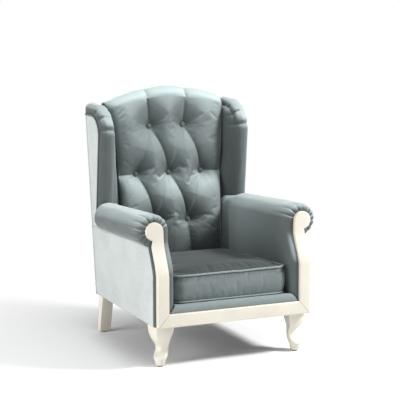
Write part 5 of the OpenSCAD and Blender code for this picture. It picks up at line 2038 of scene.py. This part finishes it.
@dataclass
class PaintedTrim:
    """The painted front rail and the two arm facings with their round scrolls, all with eased edges."""

    finishes: Finishes
    ease_r: float = 0.0055
    joint_w: float = 0.0018
    segments: int = 5

    def on_mitre(self, x: float, z: float) -> bool:
        """Whether a place lies on the mitre between the rail and a facing."""
        rise = (LINES.outer_x - abs(x)) / LINES.facing_w
        return 0 <= rise + 1e-6 <= 1 + 2e-6 and abs(z - LINES.body_z - rise * LINES.trim_h) < 2e-4

    def eased_copy(self, node: str, name: str, radius: float) -> Piece:
        """Copies a node, joins its faces and rounds its edges, apart from those of the mitres.

        Args:
            node: the carried-over node.
            name: the new piece's name.
            radius: how far the edges are eased.

        Returns:
            The eased piece.
        """
        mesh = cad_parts[node].data.copy()
        mesh.name = name
        obj = link(bpy.data.objects.new(name, mesh))
        pick(obj)
        bpy.ops.object.mode_set(mode="EDIT")
        bpy.ops.mesh.select_all(action="SELECT")
        bpy.ops.mesh.remove_doubles(threshold=1e-5)
        bpy.ops.mesh.dissolve_limited(angle_limit=radians(0.6))
        bpy.ops.mesh.select_all(action="DESELECT")
        bpy.ops.object.mode_set(mode="OBJECT")
        with mesh_of(obj) as work:
            sharp = []
            for edge in work.edges:
                a, b = (v.co for v in edge.verts)
                flat = len(edge.link_faces) != 2 or edge.calc_face_angle(0) < radians(28)
                mitred = a.x * b.x > 0 and self.on_mitre(a.x, a.z) and self.on_mitre(b.x, b.z)
                if not (flat or mitred or self.in_hole(a) or self.in_hole(b)):
                    sharp.append(edge)
            bmesh.ops.bevel(work, geom=sharp, offset=radius, offset_type="OFFSET", segments=self.segments,
                            profile=0.5, affect="EDGES", clamp_overlap=True, material=-1, loop_slide=True)
            self.cut_beside_mitres(work)
        pick(obj)
        bpy.ops.object.shade_smooth_by_angle(angle=radians(34))
        return obj

    def cut_beside_mitres(self, work: bmesh.types.BMesh) -> None:
        """Cuts the faces a little way off each mitre, so that the shade of the joint stays narrow.

        Args:
            work: the open mesh.
        """
        for side in Side:
            corner = Vector((side.value * LINES.outer_x, 0, LINES.body_z))
            across = Vector((side.value * LINES.trim_h, 0, LINES.facing_w)).normalized()
            for off in (-self.joint_w, self.joint_w):
                near = [f for f in work.faces if f.calc_center_median().x * side.value > -0.1]
                parts = list({v for f in near for v in f.verts}) + list({e for f in near for e in f.edges}) + near
                bmesh.ops.bisect_plane(work, geom=parts, dist=1e-6, plane_co=corner + across * off, plane_no=across)

    def in_hole(self, place: Vector) -> bool:
        """Whether a place lies on the wall of a screw's hole."""
        screw_x = LINES.outer_x - LINES.facing_w / 2
        return abs(abs(place.x) - screw_x) < 0.004 and place.z < LINES.knee_z and place.z > LINES.trim_top_z

    def shade_joints(self, obj: Piece) -> None:
        """Stores how near each vertex is to a mitre and to a worn edge.

        Args:
            obj: the piece.
        """
        joints = []
        for v in obj.data.vertices:
            rise = (LINES.outer_x - abs(v.co.x)) / LINES.facing_w
            off = abs(v.co.z - LINES.body_z - rise * LINES.trim_h) if -0.1 < rise < 1.1 else 1.0
            joints.append(1.0 if off < 3e-4 else 0.0)
        set_shade(obj, "joint", joints)
        set_shade(obj, "edge", 0.8)

    def build(self) -> None:
        """Makes the rail and both facings."""
        for node, name in (("front_trim_rail", "painted_rail"), ("arm_facing_left", "painted_facing_left"),
                           ("arm_facing_right", "painted_facing_right")):
            obj = self.eased_copy(node, name, self.ease_r)
            self.shade_joints(obj)
            hand_over(obj, self.finishes.paint, node, slot="cream_paint")


@dataclass(frozen=True)
class LegSection:
    """One level of a front leg, all as shares: height, shift to the corner, half width across, half width outwards,
    and how square the section is, from 2 for round to 1.1 for a square stood on its corner."""

    height: float
    shift: float
    across: float
    outward: float
    square: float


@dataclass
class FrontLeg:
    """A cabriole front leg: a square knee under the rail, a drawn-in ankle and a stepped pad foot."""

    finishes: Finishes
    side: Side
    width: float = 0.084
    centre_x: float = 0.300
    setback: float = 0.074
    glide_t: float = 0.004
    sides: int = 40
    sections: tuple[LegSection, ...] = tuple(LegSection(*sizes) for sizes in (
        (0.000, 0.082, 0.205, 0.208, 2), (0.012, 0.083, 0.221, 0.222, 2), (0.060, 0.092, 0.247, 0.243, 2),
        (0.112, 0.099, 0.266, 0.256, 2), (0.136, 0.102, 0.276, 0.263, 2), (0.150, 0.103, 0.290, 0.275, 2),
        (0.172, 0.105, 0.322, 0.295, 2), (0.200, 0.080, 0.348, 0.300, 1.95),
        (0.240, 0.030, 0.360, 0.280, 1.85), (0.290, -0.050, 0.345, 0.242, 1.7),
        (0.340, -0.105, 0.332, 0.212, 1.6), (0.400, -0.135, 0.330, 0.198, 1.52),
        (0.460, -0.140, 0.345, 0.200, 1.48), (0.515, -0.100, 0.385, 0.248, 1.42),
        (0.570, -0.040, 0.435, 0.312, 1.38), (0.625, 0.005, 0.482, 0.372, 1.34),
        (0.680, 0.028, 0.530, 0.428, 1.3), (0.750, 0.034, 0.592, 0.482, 1.25),
        (0.820, 0.030, 0.650, 0.530, 1.2), (0.910, 0.014, 0.682, 0.554, 1.17),
        (0.985, 0.001, 0.700, 0.570, 1.15), (1.000, 0.000, 0.692, 0.562, 1.15),
    ))

    def build(self) -> None:
        """Draws the leg up from its foot, level by level, then smooths it and sets it at its corner."""
        deselect()
        bpy.ops.mesh.primitive_circle_add(vertices=self.sides, radius=1.0, fill_type="NGON")
        leg = bpy.context.object
        leg.name = f"cabriole_leg_{self.side.word}"
        first = self.sections[0]
        bpy.ops.object.mode_set(mode="EDIT")
        bpy.ops.mesh.select_all(action="SELECT")
        bpy.ops.transform.resize(value=(first.across * self.width, first.outward * self.width, 1))
        bpy.ops.transform.translate(value=(0, first.shift * self.width, self.glide_t))
        before = first
        for level in self.sections[1:]:
            rise = (level.height - before.height) * (LINES.body_z - self.glide_t)
            bpy.ops.mesh.extrude_region_move(TRANSFORM_OT_translate={
                "value": (0, (level.shift - before.shift) * self.width, rise)})
            middle = (0, level.shift * self.width, mix(self.glide_t, LINES.body_z, level.height))
            bpy.ops.transform.resize(value=(level.across / before.across, level.outward / before.outward, 1),
                                     center_override=middle)
            before = level
        bpy.ops.mesh.select_all(action="SELECT")
        bpy.ops.mesh.normals_make_consistent(inside=False)
        bpy.ops.object.mode_set(mode="OBJECT")
        self.square_sections(leg)
        apply_modifier(leg, "SUBSURF", levels=1, render_levels=1)
        turn = Matrix.Rotation(radians(-135 if self.side is Side.LEFT else 135), 4, "Z")
        place = Matrix.Translation((self.side.value * self.centre_x, LINES.front_y + self.setback, 0))
        leg.data.transform(place @ turn)
        pick(leg)
        bpy.ops.object.shade_smooth_by_angle(angle=radians(52))
        set_shade(leg, "joint", 0.0)
        set_shade(leg, "edge", [1.0 if v.co.z < 0.012 else 0.35 for v in leg.data.vertices])
        hand_over(leg, self.finishes.paint, f"front_leg_{self.side.word}", slot="cream_paint")

    def square_sections(self, leg: Piece) -> None:
        """Pulls each level from round towards a square stood on its corner, which leaves a soft ridge in front.

        Args:
            leg: the smoothed leg.
        """
        mesh = leg.data
        by_height: dict[int, list[bpy.types.MeshVertex]] = {}
        for v in mesh.vertices:
            by_height.setdefault(round(v.co.z * 1e5), []).append(v)
        for key, ring in by_height.items():
            share = (key * 1e-5 - self.glide_t) / (LINES.body_z - self.glide_t)
            level = min(self.sections, key=lambda section: abs(section.height - share))
            half_x, half_y = level.across * self.width, level.outward * self.width
            middle, power = level.shift * self.width, 2 / level.square
            for v in ring:
                a = atan2((v.co.y - middle) / half_y, v.co.x / half_x)
                v.co.x = half_x * copysign(abs(cos(a)) ** power, cos(a))
                v.co.y = middle + half_y * copysign(abs(sin(a)) ** power, sin(a))
        mesh.update()


@dataclass
class RearLegs:
    """The plank-like rear legs: oblong in section, tapering in depth to the foot, with eased arrises."""

    trim: PaintedTrim

    def build(self) -> None:
        """Makes both legs from their nodes."""
        for side in Side:
            obj = self.trim.eased_copy(f"rear_leg_{side.word}", f"tapered_leg_{side.word}", 0.0035)
            set_shade(obj, "joint", 0.0)
            set_shade(obj, "edge", [1.0 if v.co.z < 0.02 else 0.6 for v in obj.data.vertices])
            hand_over(obj, self.trim.finishes.paint, f"rear_leg_{side.word}", slot="cream_paint")


@dataclass
class InnerFrame:
    """The carried-over nodes that keep their shape: frame, springs, webbing, fasteners, lining, zip and glides."""

    finishes: Finishes

    def build(self) -> None:
        """Dresses each node in its own finish."""
        f = self.finishes
        beech = ["seat_front_rail", "seat_back_rail", "corner_blocks", "back_crest_rail", "back_lower_rail"]
        beech += [f"{part}_{side.word}" for side in Side
                  for part in ("seat_side_rail", "arm_post", "arm_rail", "back_post", "wing_frame")]
        steel = ["seat_springs", "spring_clips", "leg_bolts", "facing_screws", "zip_slider"]
        for finish, names in ((f.beech, beech), (f.steel, steel), (f.webbing, ["back_webbing", "button_ties"]),
                              (f.lining, ["dust_cover"]), (f.zip_tape, ["cushion_zip"]), (f.glide, ["glides"])):
            for name in names:
                finish.dress(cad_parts[name])
            log.info("%s on %d nodes", finish.name, len(names))


@dataclass(frozen=True)
class Lamp:
    """A rectangular soft lamp: its name, where it hangs, its width and height, and its power in watts."""

    name: str
    place: Spot
    size: tuple[float, float]
    power: float


@dataclass
class Studio:
    """The pale floor, the white surround, a key high on the right, a wide fill from the left, and the camera."""

    target: Spot = (-0.0223, -0.101, 0.625)
    distance: float = 6.528
    azimuth: float = radians(-24)
    elevation: float = radians(9.41)
    lens: float = 140.2
    lamp_aim: Spot = (0, 0, 0.5)
    lamps: tuple[Lamp, ...] = (
        Lamp("key", (3.02, -1.88, 3.3), (0.9, 0.9), 291.0),
        Lamp("side_fill", (-3.7, -0.5, 1.3), (2.6, 2.0), 124.0),
        Lamp("top", (-0.4, -0.3, 4.4), (1.2, 1.2), 48.0),
    )
    floor_r: float = 9.0
    fade_shift: float = 0.12
    fade_from: float = 0.42
    fade_to: float = 1.4
    surround: float = 0.34

    def build(self) -> None:
        """Makes the floor, the world, the lamps and the camera."""
        self.floor()
        self.world()
        for lamp in self.lamps:
            self.hang(lamp)
        data = bpy.data.cameras.new("camera")
        data.lens, data.sensor_width = self.lens, 36.0
        data.clip_end = 100
        camera = link(bpy.data.objects.new("camera", data))
        level = cos(self.elevation)
        out = Vector((sin(self.azimuth) * level, -cos(self.azimuth) * level, sin(self.elevation)))
        camera.location = Vector(self.target) + out * self.distance
        camera.rotation_euler = (-out).to_track_quat("-Z", "Y").to_euler()
        bpy.context.scene.camera = camera
        bpy.context.scene.view_settings.view_transform = "Standard"
        log.info("studio ready")

    def hang(self, lamp: Lamp) -> None:
        """Hangs one lamp, turned to the chair.

        Args:
            lamp: the lamp.
        """
        data = bpy.data.lights.new(lamp.name, "AREA")
        data.shape, data.energy = "RECTANGLE", lamp.power
        data.size, data.size_y = lamp.size
        obj = link(bpy.data.objects.new(lamp.name, data))
        obj.location = lamp.place
        obj.rotation_euler = (Vector(self.lamp_aim) - Vector(lamp.place)).to_track_quat("-Z", "Y").to_euler()

    def world(self) -> None:
        """Lights the chair with a soft even surround that the camera and glass see as white."""
        world = bpy.data.worlds.new("surround")
        world.use_nodes = True
        bpy.context.scene.world = world
        world.node_tree.nodes.clear()
        kit = Sockets(world.node_tree)
        rays = kit.node("ShaderNodeLightPath")
        seen = kit.math("MAXIMUM", rays.outputs["Is Camera Ray"], rays.outputs["Is Transmission Ray"])
        soft = kit.put(kit.node("ShaderNodeBackground"), Color=(0.97, 0.98, 1, 1), Strength=self.surround)
        white = kit.put(kit.node("ShaderNodeBackground"), Color=(1, 1, 1, 1), Strength=1.0)
        kit.choose(seen, soft.outputs[0], white.outputs[0], "ShaderNodeOutputWorld")

    def floor(self) -> None:
        """Lays the pale floor, which keeps the chair's shadow and passes into white away from it."""
        deselect()
        bpy.ops.mesh.primitive_circle_add(vertices=96, radius=self.floor_r, fill_type="NGON")
        floor = bpy.context.object
        floor.name = "studio_floor"
        material = bpy.data.materials.new("studio_floor")
        material.use_nodes = True
        material.node_tree.nodes.clear()
        kit = Sockets(material.node_tree)
        place = kit.node("ShaderNodeTexCoord").outputs["Object"]
        colour = kit.blend(kit.noise(place, 4, 3), (0.86, 0.86, 0.86, 1), (0.89, 0.89, 0.89, 1))
        shader = kit.put(kit.node("ShaderNodeBsdfPrincipled"), Base_Color=colour, Roughness=0.85,
                         Specular_IOR_Level=0.2)
        white = kit.put(kit.node("ShaderNodeEmission"), Color=(1, 1, 1, 1), Strength=1.0)
        reach = kit.node("ShaderNodeVectorMath", operation="LENGTH")
        moved = kit.node("ShaderNodeVectorMath", operation="ADD")
        kit.join(place, moved.inputs[0])
        moved.inputs[1].default_value = (self.fade_shift, 0.0, 0.0)
        kit.join(moved.outputs[0], reach.inputs[0])
        far = kit.spread(reach.outputs["Value"], self.fade_from, self.fade_to)
        rays = kit.node("ShaderNodeLightPath")
        seen = kit.math("MAXIMUM", kit.math("MAXIMUM", rays.outputs["Is Camera Ray"], rays.outputs["Is Glossy Ray"]),
                        rays.outputs["Is Transmission Ray"])
        kit.choose(kit.math("MULTIPLY", far, seen), shader.outputs[0], white.outputs[0], "ShaderNodeOutputMaterial")
        floor.data.materials.append(material)


def clear_start_scene() -> None:
    """Removes the cube, lamp and camera that Blender starts with."""
    for name in ("Cube", "Light", "Camera"):
        if name in bpy.data.objects:
            bpy.data.objects.remove(bpy.data.objects[name])


def main() -> None:
    """Builds the chair's visual pieces in order and reports each."""
    logging.basicConfig(level=logging.INFO, format="%(message)s")
    clear_start_scene()
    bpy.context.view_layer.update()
    deselect()
    finishes = Finishes()
    InnerFrame(finishes).build()
    SeatBase(finishes).build()
    ButtonedBack(finishes).build()
    SeatCushion(finishes).build()
    for side in Side:
        RolledArm(finishes, side).build()
        Wing(finishes, side).build()
        FrontLeg(finishes, side).build()
    OuterBack(finishes).build()
    trim = PaintedTrim(finishes)
    trim.build()
    RearLegs(trim).build()
    Studio().build()
    deselect()


if __name__ == "__main__":
    main()
